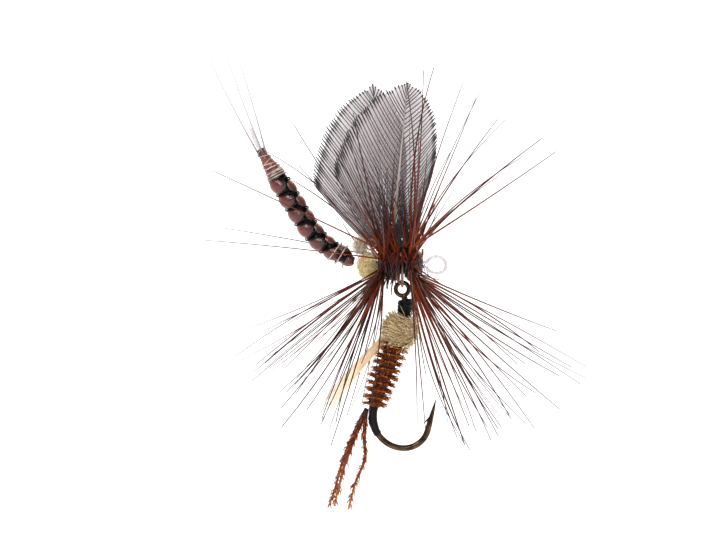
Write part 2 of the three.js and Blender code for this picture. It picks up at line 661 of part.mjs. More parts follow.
function nymphTaper(t) {
  return hookRadius + THREE.MathUtils.lerp(NYMPH_ABDOMEN_FRONT_WALL, NYMPH_ABDOMEN_REAR_WALL, t);
}

function threadTaper(t) {
  return hookRadius + THREE.MathUtils.lerp(BEND_THREAD_WALL, BEND_THREAD_END_WALL, t);
}

function ribGeometry() {
  const turns = Math.floor(NYMPH_ABDOMEN_LENGTH / HERL_PITCH);
  const points = [];
  const count = turns * 11;
  for (let k = 0; k <= count; k += 1) {
    const t = THREE.MathUtils.lerp(0.04, 0.96, k / count);
    const u = (thoraxEnd + t * NYMPH_ABDOMEN_LENGTH) / wireLength;
    const angle = (2 * Math.PI * turns * k) / count;
    const radius = nymphTaper(t) + SEAT + RIB_WIRE / 2 + 0.02;
    const spot = wire.getPointAt(u);
    spot.addScaledVector(wire.getTangentAt(u).cross(Y_AXIS), radius * Math.cos(angle));
    spot.addScaledVector(Y_AXIS, radius * Math.sin(angle));
    points.push(spot);
  }
  const shankWay = wire.getTangentAt((thoraxEnd + 1) / wireLength);
  return rod(spline(points), () => RIB_WIRE / 2, 4, count, { side: shankWay });
}

// The pad leaves the thorax behind, just clear of the abdomen, and runs down and back.
function wingPadGeometry() {
  const root = wire.getPointAt((thoraxEnd + 0.1) / wireLength);
  const start = root.clone().add(at(-nymphAbdomenFront - PAD_GAP, 0, PAD_SIDE));
  const curve = spline([
    start,
    start.clone().add(at(-1.9, -1.9, -0.1)),
    start.clone().add(at(-3.1, -3.4, -0.3)),
    start.clone().add(at(-4.3, -4.9, -0.5)),
    start.clone().add(at(-5.5, -6.6, -0.7)),
  ]);
  return rod(curve, (t) => THREE.MathUtils.lerp(0.36, 0.55, t), 8, 8, { widen: 0.3 });
}

// Tail fibres lie against the bend thread and fan out below it.
function nymphTailGeometry(side, points) {
  const base = wire.getPointAt((nymphAbdomenEnd + 0.3) / wireLength);
  const start = base.clone().add(at(-bendThreadFront - NYMPH_TAIL_ROOT / 2 - TAIL_GAP, 0, side));
  const rest = points.map(([x, z, y]) => start.clone().add(at(x, z, y)));
  const radiusAt = (t) => THREE.MathUtils.lerp(NYMPH_TAIL_ROOT, NYMPH_TAIL_TIP, t) / 2;
  return rod(spline([start, ...rest]), radiusAt, 5, 10);
}

const nymphTails = {
  nymph_tail_right: [-0.3, [
    [-0.1, -1, -0.1], [-0.25, -2.9, -0.2], [-0.2, -5.6, -0.3], [-1.2, -8.1, -0.3], [-2.0, -11.2, -0.3],
  ]],
  nymph_tail_middle: [0.1, [
    [-0.45, -1.2, 0.1], [-1.3, -3.3, 0.3], [-2.3, -5.9, 0.4], [-3.1, -8.8, 0.5], [-3.6, -10.9, 0.6],
  ]],
  nymph_tail_left: [0.48, [
    [-0.7, -1.3, 0.2], [-1.75, -3.6, 0.4], [-2.75, -6.2, 0.7], [-3.6, -9.2, 1.1], [-4.3, -11.1, 1.3],
  ]],
};

const nymph = new THREE.Group();
nymph.position.set(LINK_X, 0, eyeCentreZ);
const herlAbdomen = woundOnHook(thoraxEnd, nymphAbdomenEnd, nymphTaper, HERL_RIDGE, HERL_PITCH, 12);
const neckRadius = () => hookRadius + NECK_WALL;
const neckThread = woundOnHook(NECK_START, neckEnd, neckRadius, NECK_RIDGE, THREAD_PITCH, 12);
const nymphThorax = woundOnHook(neckEnd, thoraxEnd, thoraxSwell, 0, 1, 12);
const bendRange = [nymphAbdomenEnd, bendThreadEnd];
const bendThread = woundOnHook(...bendRange, threadTaper, BEND_THREAD_RIDGE, THREAD_PITCH, 10);
nymph.add(piece("hook", hookGeometry(), finish(0x1a181b, 0.25, 0.9)));
nymph.add(piece("neck_thread", neckThread, blackThread()));
nymph.add(piece("nymph_thorax", nymphThorax, finish(0xb39a6a, 0.95)));
nymph.add(piece("nymph_abdomen", herlAbdomen, herl()));
nymph.add(piece("nymph_rib", ribGeometry(), finish(0xb87333, 0.3, 0.9)));
nymph.add(piece("bend_thread", bendThread, blackThread()));
nymph.add(piece("wing_pad", wingPadGeometry(), finish(0xe8cdae, 0.8)));
for (const [name, [side, points]] of Object.entries(nymphTails)) {
  nymph.add(piece(name, nymphTailGeometry(side, points), herl()));
}

const fly = new THREE.Group();
fly.add(dun, link, abdomen, nymph);

export default fly;
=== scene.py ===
# %% [markdown]
# # An articulated mayfly dry fly
# The upper fly, the dun, is tied round a loop of clear nylon. A nymph hangs from it by the eye of a hook.
# Everything here is modelled in millimetres and turned to metres only when a mesh is made, because the
# numbers of such a small thing are easier to read that way. +X is towards the head and +Z is up.

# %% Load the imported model, whose joints and boxes place every piece
import json
import math

import bpy
import numpy as np
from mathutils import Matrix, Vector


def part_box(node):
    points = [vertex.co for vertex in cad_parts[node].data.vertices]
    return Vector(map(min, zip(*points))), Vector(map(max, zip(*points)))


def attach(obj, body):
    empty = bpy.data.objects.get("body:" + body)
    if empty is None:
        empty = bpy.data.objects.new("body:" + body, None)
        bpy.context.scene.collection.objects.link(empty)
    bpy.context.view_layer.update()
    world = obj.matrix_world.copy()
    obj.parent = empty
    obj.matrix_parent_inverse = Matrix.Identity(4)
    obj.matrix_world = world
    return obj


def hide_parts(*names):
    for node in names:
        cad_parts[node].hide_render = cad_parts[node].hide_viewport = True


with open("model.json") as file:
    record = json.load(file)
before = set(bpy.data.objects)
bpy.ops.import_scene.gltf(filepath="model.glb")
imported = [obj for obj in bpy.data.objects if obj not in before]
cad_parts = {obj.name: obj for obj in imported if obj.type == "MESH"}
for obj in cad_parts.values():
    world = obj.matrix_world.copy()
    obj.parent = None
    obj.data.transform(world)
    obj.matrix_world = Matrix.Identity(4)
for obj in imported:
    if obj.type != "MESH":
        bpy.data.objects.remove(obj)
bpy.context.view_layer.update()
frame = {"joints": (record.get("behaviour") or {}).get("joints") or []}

MM = 0.001
chance = np.random.default_rng(7)
JOINTS = {joint["name"]: np.array(joint["pos_m"]) / MM for joint in frame["joints"]}


def low(node):
    """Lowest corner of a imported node, in millimetres."""
    return np.array(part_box(node)[0]) / MM


def high(node):
    """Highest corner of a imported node, in millimetres."""
    return np.array(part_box(node)[1]) / MM


# %% [markdown]
# ## Meshes from arrays
# A shape is worked out as a whole array of points. Most pieces here are a section carried along a line, so
# a few small helpers turn rings of points into closed skins: one for a single tube with poles at its ends,
# and one for hundreds of fibres at once, each closed by flat caps.

# %% Rings to faces


def full_turn(count):
    """Angles of equal steps round a whole turn."""
    return np.linspace(0, 2 * math.pi, count, endpoint=False)


def tube_faces(rings, sides):
    """Quads between neighbouring rings of a tube, as indices row * sides + column."""
    row = np.arange(rings - 1)[:, None] * sides
    column = np.arange(sides)[None, :]
    after = (column + 1) % sides
    quads = np.stack([row + column, row + after, row + sides + after, row + sides + column], -1)
    return quads.reshape(-1, 4)


def skin(rings):
    """Closed skin of rings (n, sides, 3): the rings, a pole at the middle of each end, and fans to them."""
    count, sides = rings.shape[:2]
    points = np.concatenate([rings.reshape(-1, 3), [rings[0].mean(0)], [rings[-1].mean(0)]])
    column = np.arange(sides)
    after = (column + 1) % sides
    start = np.stack([after, column, np.full(sides, count * sides)], -1)
    last = (count - 1) * sides
    end = np.stack([last + column, last + after, np.full(sides, count * sides + 1)], -1)
    along = np.concatenate([np.repeat(np.linspace(0, 1, count), sides), [0, 1]])
    return points, [tube_faces(count, sides), np.concatenate([start, end])], along


def bundle_skin(rings):
    """Closed skins of many fibres, rings being (fibres, n, sides, 3), each with flat caps."""
    fibres, count, sides = rings.shape[:3]
    each = count * sides
    first = np.arange(fibres)[:, None, None] * each
    quads = (tube_faces(count, sides)[None] + first).reshape(-1, 4)
    column = np.arange(sides)
    caps = np.stack([column[::-1], (count - 1) * sides + column])[None] + first
    along = np.tile(np.repeat(np.linspace(0, 1, count), sides), fibres)
    return rings.reshape(-1, 3), [quads, caps.reshape(-1, sides)], along


def merge(*skins):
    """Several skins as one, with the later ones' indices moved up."""
    points, faces, along, first = [], [], [], 0
    for part_points, part_faces, part_along in skins:
        points.append(part_points)
        faces += [face + first for face in part_faces]
        along.append(part_along)
        first += len(part_points)
    return np.concatenate(points), faces, np.concatenate(along)


def volume(points, faces):
    """Signed volume: the sum over triangles of a . (b x c) / 6, each face being a fan of triangles."""
    total = 0.0
    for face in faces:
        for k in range(1, face.shape[1] - 1):
            a, b, c = points[face[:, 0]], points[face[:, k]], points[face[:, k + 1]]
            total += float((a * np.cross(b, c)).sum()) / 6
    return total


# %% Put a skin into a Blender object


def put(name, data):
    """A new object in the scene that shows some data."""
    made = bpy.data.objects.new(name, data)
    bpy.context.scene.collection.objects.link(made)
    return made


def piece(name, shape, material, body, replaced=(), tint=None):
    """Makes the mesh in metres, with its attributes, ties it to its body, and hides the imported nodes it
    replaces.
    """
    points, faces, along = shape
    if volume(points, faces) < 0:
        faces = [face[:, ::-1] for face in faces]
    mesh = bpy.data.meshes.new(name)
    mesh.vertices.add(len(points))
    mesh.vertices.foreach_set("co", (points * MM).astype(np.float32).ravel())
    totals = np.concatenate([np.full(len(face), face.shape[1]) for face in faces])
    corners = np.concatenate([face.ravel() for face in faces]).astype(np.int32)
    mesh.loops.add(len(corners))
    mesh.loops.foreach_set("vertex_index", corners)
    mesh.polygons.add(len(totals))
    mesh.polygons.foreach_set("loop_start", (np.cumsum(totals) - totals).astype(np.int32))
    mesh.polygons.foreach_set("use_smooth", np.ones(len(totals), bool))
    mesh.update(calc_edges=True)
    mesh.validate()
    values = {"along": along, "tint": np.full(len(points), 0.5) if tint is None else tint}
    for key, value in values.items():
        attribute = mesh.attributes.new(key, "FLOAT", "POINT")
        attribute.data.foreach_set("value", np.asarray(value, np.float32))
    mesh.materials.append(material)
    made = put(name, mesh)
    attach(made, body)
    if replaced:
        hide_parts(*replaced)
    triangles = int((totals - 2).sum())
    print(f"{name}: {triangles} triangles, {volume(points, faces):.2f} mm3")


# %% [markdown]
# ## Lines to carry a section along
# A hook is bent wire: straights and arcs, one after the other. The same helper gives the dun's upturned
# abdomen. Any line becomes a `Line`, which knows its length and gives the place and direction at any
# distance along it, so that thread, fur and herl can be wound on a stretch of it.

# %% Wire paths and distance along a line


def unit(vectors):
    """Vectors of length one."""
    return vectors / np.linalg.norm(vectors, axis=-1, keepdims=True)


def wire(start, heading, runs, spacing=0.12):
    """Flat wire in the XZ plane. Each run is (length,) for a straight or (radius, turn) for an arc, where
    a point of an arc is centre + radius * (sin, -cos) of the heading there, in the sense of the turn."""
    points = [np.array([start])]
    heading = math.radians(heading)
    for size, *turn in runs:
        spot = points[-1][-1]
        angle = math.radians(turn[0]) if turn else 0.0
        length = size * abs(angle) if turn else size
        t = np.linspace(0, 1, max(3, int(length / spacing)))[1:]
        if turn:
            sense = math.copysign(size, angle)
            headings = heading + angle * t
            x = spot[0] + sense * (np.sin(headings) - math.sin(heading))
            z = spot[2] - sense * (np.cos(headings) - math.cos(heading))
            heading += angle
        else:
            x = spot[0] + length * t * math.cos(heading)
            z = spot[2] + length * t * math.sin(heading)
        points.append(np.stack([x, np.full_like(t, spot[1]), z], -1))
    return np.concatenate(points)


class Line:
    """A line of points with its length, and the place, direction and cross directions at a distance."""

    def __init__(self, points, side=(0, 1, 0)):
        self.points = np.asarray(points, float)
        steps = np.linalg.norm(np.diff(self.points, axis=0), axis=1)
        self.marks = np.concatenate([[0], np.cumsum(steps)])
        self.length = self.marks[-1]
        self.side = np.array(side, float)

    def at(self, distance):
        """Place at a distance, by linear steps between the points."""
        return np.stack([np.interp(distance, self.marks, self.points[:, k]) for k in range(3)], -1)

    def axes(self, distance, reach=0.05):
        """Across and out: two directions square to the line, out being as near the side as it can."""
        ahead = unit(self.at(distance + reach) - self.at(distance - reach))
        across = unit(np.cross(ahead, self.side))
        return across, np.cross(across, ahead)

    def ring(self, distance, radius, angles):
        """Points round the line: place + radius * (cos * across + sin * out)."""
        across, out = self.axes(distance)
        turn = np.cos(angles)[..., None] * across + np.sin(angles)[..., None] * out
        return self.at(distance) + np.asarray(radius)[..., None] * turn


def smooth_curve(points, count=60):
    """A rounded line through a few points: each coordinate is a cubic through them, by chord length."""
    points = np.asarray(points, float)
    marks = np.concatenate([[0], np.cumsum(np.linalg.norm(np.diff(points, axis=0), axis=1))])
    slopes = np.gradient(points, marks, axis=0)
    s = np.linspace(0, marks[-1], count)
    k = np.clip(np.searchsorted(marks, s, side="right") - 1, 0, len(points) - 2)
    step = (marks[k + 1] - marks[k])[:, None]
    t = (s - marks[k])[:, None] / step
    a, b = points[k], points[k + 1]
    hermite = (2 * t**3 - 3 * t**2 + 1) * a + (t**3 - 2 * t**2 + t) * step * slopes[k]
    return hermite + (3 * t**2 - 2 * t**3) * b + (t**3 - t**2) * step * slopes[k + 1]


def swept(line, radius, sides=14, count=None):
    """Round section along a whole line. radius is a number or a function of 0 to 1 along it."""
    count = count or len(line.points)
    t = np.linspace(0, 1, count)
    size = np.broadcast_to(radius(t) if callable(radius) else radius, count)
    angles = full_turn(sides)
    s = np.clip(t * line.length, 1e-3, line.length - 1e-3)[:, None]
    across, out = line.axes(np.broadcast_to(s, (count, sides)))
    turn = np.cos(angles)[None, :, None] * across + np.sin(angles)[None, :, None] * out
    centre = line.at(np.broadcast_to(t[:, None] * line.length, (count, sides)))
    return skin(centre + size[:, None, None] * turn)


def loop_tube(centre, radius, thickness, sides=12, count=72, normal="y"):
    """Closed ring of wire round the Y or X axis: a circle of the radius, thickened to half thickness."""
    around = full_turn(count)[:, None]
    section = full_turn(sides)[None, :]
    wide = radius + thickness / 2 * np.cos(section)
    flat = [wide * np.cos(around), thickness / 2 * np.sin(section) + 0 * around, wide * np.sin(around)]
    order = [0, 1, 2] if normal == "y" else [1, 0, 2]
    rings = np.stack([flat[k] for k in order], -1) + np.asarray(centre)
    quads = tube_faces(count + 1, sides) % (count * sides)
    along = np.repeat(np.linspace(0, 1, count), sides)
    return rings.reshape(-1, 3), [quads], along


# %% [markdown]
# ## Many fibres at once
# Feathers and fur are fibres. Each one is a curve from a root to a tip, bowed towards a middle, with a thin
# section of a few sides. All the fibres of a piece are worked out together, as one array of shape
# (fibres, steps, sides, 3). Each keeps a random tint, so that no two look the same.

# %% Fibres


def strands(spine, size, sides=3, flat=1.0, normal=None, groove=0.0):
    """Sections carried along many spines (fibres, n, 3) of half thickness size (fibres, n). The section is
    cos * across + flat * sin * out, out being as near the normal as it can. groove pinches it in four."""
    ahead = unit(np.gradient(spine, axis=1) + 1e-9)
    if normal is None:
        normal = np.where(np.abs(ahead[..., :1]) < 0.9, [[[1.0, 0, 0]]], [[[0, 1.0, 0]]])
    across = unit(np.cross(ahead, normal))
    out = np.cross(across, ahead)
    angles = full_turn(sides)[None, None, :, None]
    turn = np.cos(angles) * across[:, :, None] + flat * np.sin(angles) * out[:, :, None]
    turn = turn * (1 + groove * np.cos(4 * angles))
    return bundle_skin(spine[:, :, None] + size[:, :, None, None] * turn)


def bow_curves(root, middle, tip, t):
    """Quadratic curves (1 - t)^2 root + 2 t (1 - t) middle + t^2 tip, one for each root."""
    root, middle, tip = root[:, None], middle[:, None], tip[:, None]
    return (1 - t) ** 2 * root + 2 * t * (1 - t) * middle + t**2 * tip


def fibres(root, middle, tip, thick, thin, steps=8, sides=3, flat=1.0, normal=None, bead=1.0):
    """Sections along bow curves. thick and thin are the half thickness at root and tip, and bead swells the
    last ring but one."""
    t = np.linspace(0, 1, steps + 1)[None, :, None]
    spine = bow_curves(root, middle, tip, t)
    size = np.broadcast_to(thick + (thin - thick) * t[..., 0], spine.shape[:2]).copy()
    size[:, -2] *= bead
    return strands(spine, size, sides, flat, normal)


def tints(shape, count):
    """One random number per fibre, repeated for each of its points."""
    return np.repeat(chance.random(count), len(shape[0]) // count)


def furred(core, shade, hair, count):
    """A core and its fibres as one shape, and their tints: one shade for the core, one random per fibre."""
    return merge(core, hair), np.concatenate([np.full(len(core[0]), shade), tints(hair, count)])


def spread(count, low_value, high_value):
    """Random numbers between two limits."""
    return chance.uniform(low_value, high_value, count)


# %% [markdown]
# ## Finishes
# Each finish is a Principled shader fed by procedural patterns on Object coordinates, which are metres, so
# a pattern's scale is 1 / its size in metres. Fibres read their own `along` and `tint` attributes, because
# their colour runs from root to tip. Colours are written as sRGB hex and turned to linear by one function.

# %% Colour and node helpers


def linear(code):
    """sRGB hex to linear RGBA: c / 12.92 below 0.04045, else ((c + 0.055) / 1.055) ** 2.4."""
    parts = np.array([int(code[k:k + 2], 16) for k in (1, 3, 5)]) / 255
    parts = np.where(parts <= 0.04045, parts / 12.92, ((parts + 0.055) / 1.055) ** 2.4)
    return (*parts.tolist(), 1.0)


def add(tree, kind, settings=None, inputs=None):
    """Adds a shader node. settings are its properties or a ramp's stops, inputs are values or sockets."""
    made = tree.nodes.new("ShaderNode" + kind)
    for key, value in (settings or {}).items():
        if key == "stops":
            ramp = made.color_ramp
            for place, code in value[1:-1]:
                ramp.elements.new(place)
            for element, (place, code) in zip(ramp.elements, value):
                element.position = place
                element.color = linear(code)
        else:
            setattr(made, key, value)
    for key, value in (inputs or {}).items():
        if isinstance(value, bpy.types.NodeSocket):
            tree.links.new(value, made.inputs[key])
        else:
            made.inputs[key].default_value = value
    return made


def finish(name, colour, principled, bump=None):
    """A material: colour(tree, place) gives the base colour socket, principled holds the shader's own
    values, and bump is (height socket maker, strength, depth in millimetres)."""
    material = bpy.data.materials.new(name)
    material.use_nodes = True
    tree = material.node_tree
    tree.nodes.clear()
    place = add(tree, "TexCoord").outputs["Object"]
    inputs = {"Base Color": colour(tree, place), **principled}
    if bump:
        height, strength, depth = bump
        settings = {"Strength": strength, "Distance": depth * MM, "Height": height(tree, place)}
        inputs["Normal"] = add(tree, "Bump", None, settings).outputs["Normal"]
    shader = add(tree, "BsdfPrincipled", None, inputs)
    add(tree, "OutputMaterial", None, {"Surface": shader.outputs["BSDF"]})
    return material


def mottle(size, dark, light):
    """Colour by noise of a size in millimetres, between two hex colours."""
    def make(tree, place):
        inputs = {"Vector": place, "Scale": 1 / (size * MM), "Detail": 3.0}
        noise = add(tree, "TexNoise", None, inputs)
        stops = {"stops": [(0.3, dark), (0.7, light)]}
        return add(tree, "ValToRGB", stops, {"Fac": noise.outputs["Fac"]}).outputs["Color"]
    return make


def rough_height(size):
    """Height by noise of a size in millimetres."""
    def make(tree, place):
        inputs = {"Vector": place, "Scale": 1 / (size * MM), "Detail": 4.0}
        return add(tree, "TexNoise", None, inputs).outputs["Fac"]
    return make


def fibre_colour(stops, other_stops):
    """Colour along a fibre by its own attributes: along picks the stop, tint picks between two ramps."""
    def make(tree, place):
        along = add(tree, "Attribute", {"attribute_name": "along"}).outputs["Fac"]
        tint = add(tree, "Attribute", {"attribute_name": "tint"}).outputs["Fac"]
        one = add(tree, "ValToRGB", {"stops": stops}, {"Fac": along}).outputs["Color"]
        two = add(tree, "ValToRGB", {"stops": other_stops}, {"Fac": along}).outputs["Color"]
        mix = add(tree, "Mix", {"data_type": "RGBA"})
        tree.links.new(tint, mix.inputs[0])
        for source, letter in ((one, "A"), (two, "B")):
            ends = [end for end in mix.inputs if end.type == "RGBA" and end.name == letter]
            tree.links.new(source, ends[0])
        return next(socket for socket in mix.outputs if socket.type == "RGBA")
    return make


# %% Finishes of nylon and thread
# Drawn nylon is smooth and clear, so it shows a sharp highlight and what is behind it.
nylon = finish(
    "nylon monofilament", mottle(3.0, "#b9b2b6", "#d2ccd0"),
    {"Roughness": 0.08, "IOR": 1.53, "Transmission Weight": 0.8})
# This nylon is smooth too, but its rose brown is the brown round it, painted on as what it reflects and
# what shows through it.
nylon_painted_with_surround = finish(
    "nylon painted with the brown round it", mottle(0.8, "#5a3630", "#a47c72"),
    {"Roughness": 0.12, "IOR": 1.53, "Transmission Weight": 0.25})
# Thin nylon thread scatters more light than the loop, and looks pale.
clear_thread = finish(
    "clear nylon thread", mottle(0.6, "#8d7872", "#cfbcb2"),
    {"Roughness": 0.2, "IOR": 1.53, "Transmission Weight": 0.35})
# Wax fills the thread, which leaves it black with a dull, uneven shine.
black_thread = finish(
    "waxed black tying thread", mottle(0.25, "#020102", "#0a0609"),
    {"Roughness": 0.42, "IOR": 1.5, "Specular IOR Level": 0.14}, (rough_height(0.05), 0.5, 0.02))
# Varnish lies on the head in one glossy coat.
head_thread = finish(
    "varnished brown head thread", mottle(0.3, "#0c0606", "#2c120c"),
    {"Roughness": 0.25, "IOR": 1.5, "Specular IOR Level": 0.35, "Coat Weight": 0.3},
    (rough_height(0.08), 0.4, 0.02))
# %% Finishes of feather
# A cock barb is stiff and glassy, red brown at the quill and dark at its tip. Some are dark all along.
cock_hackle = finish(
    "cock hackle barb",
    fibre_colour([(0, "#8a3c16"), (0.25, "#6c2613"), (0.65, "#4e1b17"), (1, "#3a2726")],
                 [(0, "#1a0906"), (0.3, "#220b08"), (0.65, "#1a0b0c"), (1, "#2f2a2b")]),
    {"Roughness": 0.45, "IOR": 1.55, "Specular IOR Level": 0.14})
# The quill is horn: smooth, with a soft highlight.
hackle_quill = finish(
    "cock hackle quill", mottle(0.5, "#2a0d08", "#8a4218"),
    {"Roughness": 0.35, "IOR": 1.54, "Specular IOR Level": 0.4}, (rough_height(0.15), 0.3, 0.03))
# Flank barbs are dark grey, with a black end that draws the outline of the wing.
wing_barb = finish(
    "duck flank wing barb",
    fibre_colour([(0, "#2c2427"), (0.5, "#241c1f"), (0.92, "#1b1517"), (0.97, "#060505")],
                 [(0, "#3f3438"), (0.5, "#33292d"), (0.92, "#231d1f"), (0.97, "#080606")]),
    {"Roughness": 0.5, "IOR": 1.55, "Specular IOR Level": 0.3})
# The web between barbs is thin enough to be half seen through, and matt.
wing_web = finish(
    "duck flank wing web",
    fibre_colour([(0, "#766a6c"), (0.6, "#95898b"), (1, "#b3aaac")],
                 [(0, "#6a5f61"), (0.6, "#8a7f81"), (1, "#a89fa1")]),
    {"Roughness": 0.75, "IOR": 1.5, "Alpha": 0.54, "Sheen Weight": 0.1})
# The near rachis is pale horn, stained brown at its foot. The far one is dark.
RACHIS_STOPS = [(0, "#7a3d1a"), (0.3, "#8b7468"), (0.5, "#978d88"), (1, "#6d6464")]
pale_rachis = finish(
    "pale wing rachis", fibre_colour(RACHIS_STOPS, RACHIS_STOPS),
    {"Roughness": 0.4, "IOR": 1.54, "Specular IOR Level": 0.3}, (rough_height(0.2), 0.3, 0.02))
dark_rachis = finish(
    "dark wing rachis", mottle(0.8, "#1d1517", "#3a2d31"),
    {"Roughness": 0.4, "IOR": 1.54, "Specular IOR Level": 0.3}, (rough_height(0.2), 0.3, 0.02))

# %% Finishes of fur


def fur_finish(name, dull_root, dull_tip, bright_root, bright_tip):
    """Fur scatters light, so it is matt with a faint sheen, and each fibre is paler at its tip."""
    colour = fibre_colour([(0, dull_root), (1, dull_tip)], [(0, bright_root), (1, bright_tip)])
    return finish(name, colour, {"Roughness": 0.85, "Sheen Weight": 0.25})


yellow_fur = fur_finish("yellow olive dubbing", "#9a7f42", "#d8c084", "#bfa468", "#efdfb2")
beige_fur = fur_finish("beige dubbing", "#927a60", "#c4b196", "#b09a80", "#dccfbb")
tan_fur = fur_finish("tan hare dubbing", "#3a260f", "#b8935a", "#a07c48", "#f2dcae")

# %% Finishes of the abdomen, the tails and the hook
# Vinyl rib is moulded and very smooth, so it is black but for small sharp highlights.
black_gloss = finish(
    "glossy black vinyl rib", mottle(0.5, "#010101", "#060304"),
    {"Roughness": 0.06, "IOR": 1.5, "Specular IOR Level": 0.1},
    (rough_height(0.4), 0.25, 0.05))
# Twisted floss has a satin shine. Painted shade darkens each lobe towards both its ends, where it dips
# under the next.
floss_with_painted_shade = finish(
    "mauve brown floss with painted shade", fibre_colour([(0, "#1c0504"), (0.3, "#5e1d17"), (0.6, "#75341f"), (1, "#280806")],
                                      [(0, "#160403"), (0.3, "#46130f"), (0.6, "#5c2817"), (1, "#1c0504")]),
    {"Roughness": 0.2, "IOR": 1.5, "Specular IOR Level": 0.45},
    (rough_height(0.3), 0.8, 0.12))
# Tail hair lets light through, so it is almost lost against a bright ground.
tail_hair = finish(
    "pale tail fibre", fibre_colour([(0, "#8a8484"), (0.25, "#bab5b4"), (1, "#d2cfce")],
                                    [(0, "#7a7474"), (0.25, "#aca7a6"), (1, "#c8c4c3")]),
    {"Roughness": 0.4, "IOR": 1.54, "Transmission Weight": 0.35})
# Black nickel plate on polished wire gives brown black mirror streaks along the bend.
black_nickel = finish(
    "black nickel hook steel", mottle(0.7, "#15100e", "#5a4636"),
    {"Metallic": 1.0, "Roughness": 0.2}, (rough_height(0.05), 0.12, 0.01))
# Copper wire drawn bright.
copper = finish(
    "drawn copper wire", mottle(0.2, "#8a4a20", "#c98a48"),
    {"Metallic": 1.0, "Roughness": 0.28}, (rough_height(0.04), 0.2, 0.01))
# Pheasant tail is dark at the barb and rusty orange at the ends of its barbules.
pheasant = finish(
    "pheasant tail herl", fibre_colour([(0, "#0a0201"), (0.5, "#2c0a05"), (1, "#6d2408")],
                                       [(0, "#190503"), (0.5, "#7c2a0b"), (1, "#c97b2e")]),
    {"Roughness": 0.5, "Specular IOR Level": 0.15})
# Bleached feather fibre is matt, and palest at its end.
cream_fibre = finish(
    "cream feather fibre", fibre_colour([(0, "#b98f66"), (0.5, "#d8b995"), (1, "#e6d3bd")],
                                        [(0, "#cda67e"), (0.5, "#e6cdb0"), (1, "#efe2d2")]),
    {"Roughness": 0.6, "Sheen Weight": 0.2})
print("finishes", len(bpy.data.materials))

# %% [markdown]
# ## Head, thorax and the tippet loop
# The whole dun is tied on the long leg of a nylon loop, and the real one is bound down with black thread.
# Wound thread is modelled as one skin whose radius rises and falls along a helix: it is as close to the
# look of many touching turns as a mesh needs to be, at a small part of the faces of real turns.

# %% Sizes of the thorax, in millimetres
MONO = 0.38
CORE_HEIGHT = JOINTS["link_swing"][2]
LINK_X = JOINTS["link_swing"][0]
LOOP_HALF = (1.11, 0.93)
AXIS_HEIGHT = 0.2
HEAD = (high("head_thread")[0], low("head_thread")[0])
FRONT_BED = (low("head_thread")[0], LINK_X + 0.23)
REAR_BED = (LINK_X - 0.23, low("thorax_thread_rear")[0])
THREAD_PITCH = 0.17
THREAD_RIDGE = 0.035


def wound(line, first, last, radius_at, pitch=THREAD_PITCH, ridge=THREAD_RIDGE, sides=40, fine=7):
    """Solid wound with thread: radius = radius_at(0..1) - ridge * (1 + cos(2 pi s / pitch + angle)) / 2,
    so the ridges climb one pitch each turn. A slow wave of the angle and s makes the winding uneven."""
    count = int(abs(last - first) / pitch * fine) + 2
    s = np.linspace(first, last, count)[:, None]
    t = (s - first) / (last - first)
    angle = full_turn(sides)[None, :]
    wave = 0.5 + 0.5 * np.cos(2 * math.pi * s / pitch + angle)
    uneven = 1 + 0.02 * np.sin(2 * angle + 3.1 * s) + 0.015 * np.sin(3 * angle - 5.3 * s)
    radius = radius_at(t) * uneven - ridge * wave
    distance, angle = np.broadcast_arrays(s, angle)
    return skin(line.ring(distance, radius, angle))


def helix(line, first, last, radius_at, turns, thickness, start=0.0, sides=8, around=22):
    """Wire wound on a line: its middle is radius_at(0..1) away from it, at angle 2 pi turns t + start."""
    t = np.linspace(0, 1, int(abs(turns) * around) + 2)
    angle = 2 * math.pi * turns * t + start
    spine = line.ring(first + (last - first) * t, radius_at(t), angle)[None]
    size = np.full(spine.shape[:2], thickness / 2)
    return strands(spine, size, sides, normal=unit(spine - line.at(first + (last - first) * t)[None]))


def level(value):
    """A radius that is the same all along."""
    return lambda t: value + 0 * t


axis = Line([(0, 0, AXIS_HEIGHT), (-12, 0, AXIS_HEIGHT)])

# %% Tippet loop: one strand goes round an oval, and its short leg is bound down beside the core
mouth = math.radians(24)
around = np.linspace(math.pi - mouth, mouth - math.pi, 49)
oval = np.stack([LOOP_HALF[0] * np.cos(around), 0 * around, LOOP_HALF[1] * np.sin(around)], -1)
leg_height = CORE_HEIGHT - MONO - 0.06
long_leg = [(x, 0, CORE_HEIGHT) for x in (low("tippet_loop")[0], -5.0, -2.4, -1.5)]
short_leg = [(x, 0, leg_height) for x in (-1.7, -2.3, -2.9)]
loop_line = Line(smooth_curve(np.concatenate([long_leg, oval, short_leg]), 260))
piece("tippet_loop", swept(loop_line, MONO / 2, 16), nylon, "dun", ["tippet_loop"])

# %% Head and thread beds
head_shape = wound(axis, -HEAD[0], -HEAD[1], lambda t: 0.85 + 0.8 * np.sqrt(t))
piece("head_thread", head_shape, head_thread, "dun", ["head_thread"])


def slot_rounding(distance):
    """Share of the full width near the link's slot: 0.84 at the slot, full 0.8 mm from it."""
    return 0.84 + 0.16 * np.sqrt(np.clip(distance / 0.8, 0, 1))


def front_radius(t):
    """A little fuller towards the wings, and rounded at the slot."""
    return (1.7 + 0.12 * t) * slot_rounding((1 - t) * (FRONT_BED[0] - FRONT_BED[1]))


def rear_radius(t):
    """Full width over the wing roots, then a slope down to the hackle's bed, and rounded at the slot."""
    fall = np.clip((t - 0.5) / 0.2, 0, 1)
    return (1.86 - 0.3 * fall * fall * (3 - 2 * fall)) * slot_rounding(t * (REAR_BED[0] - REAR_BED[1]))


def crossing(first, last, radius, turns, count, side_step):
    """Loose diagonal wraps over a bed, each an open helix of its own."""
    return [helix(axis, first, last, level(radius), turns, 0.1, side_step * k) for k in range(count)]


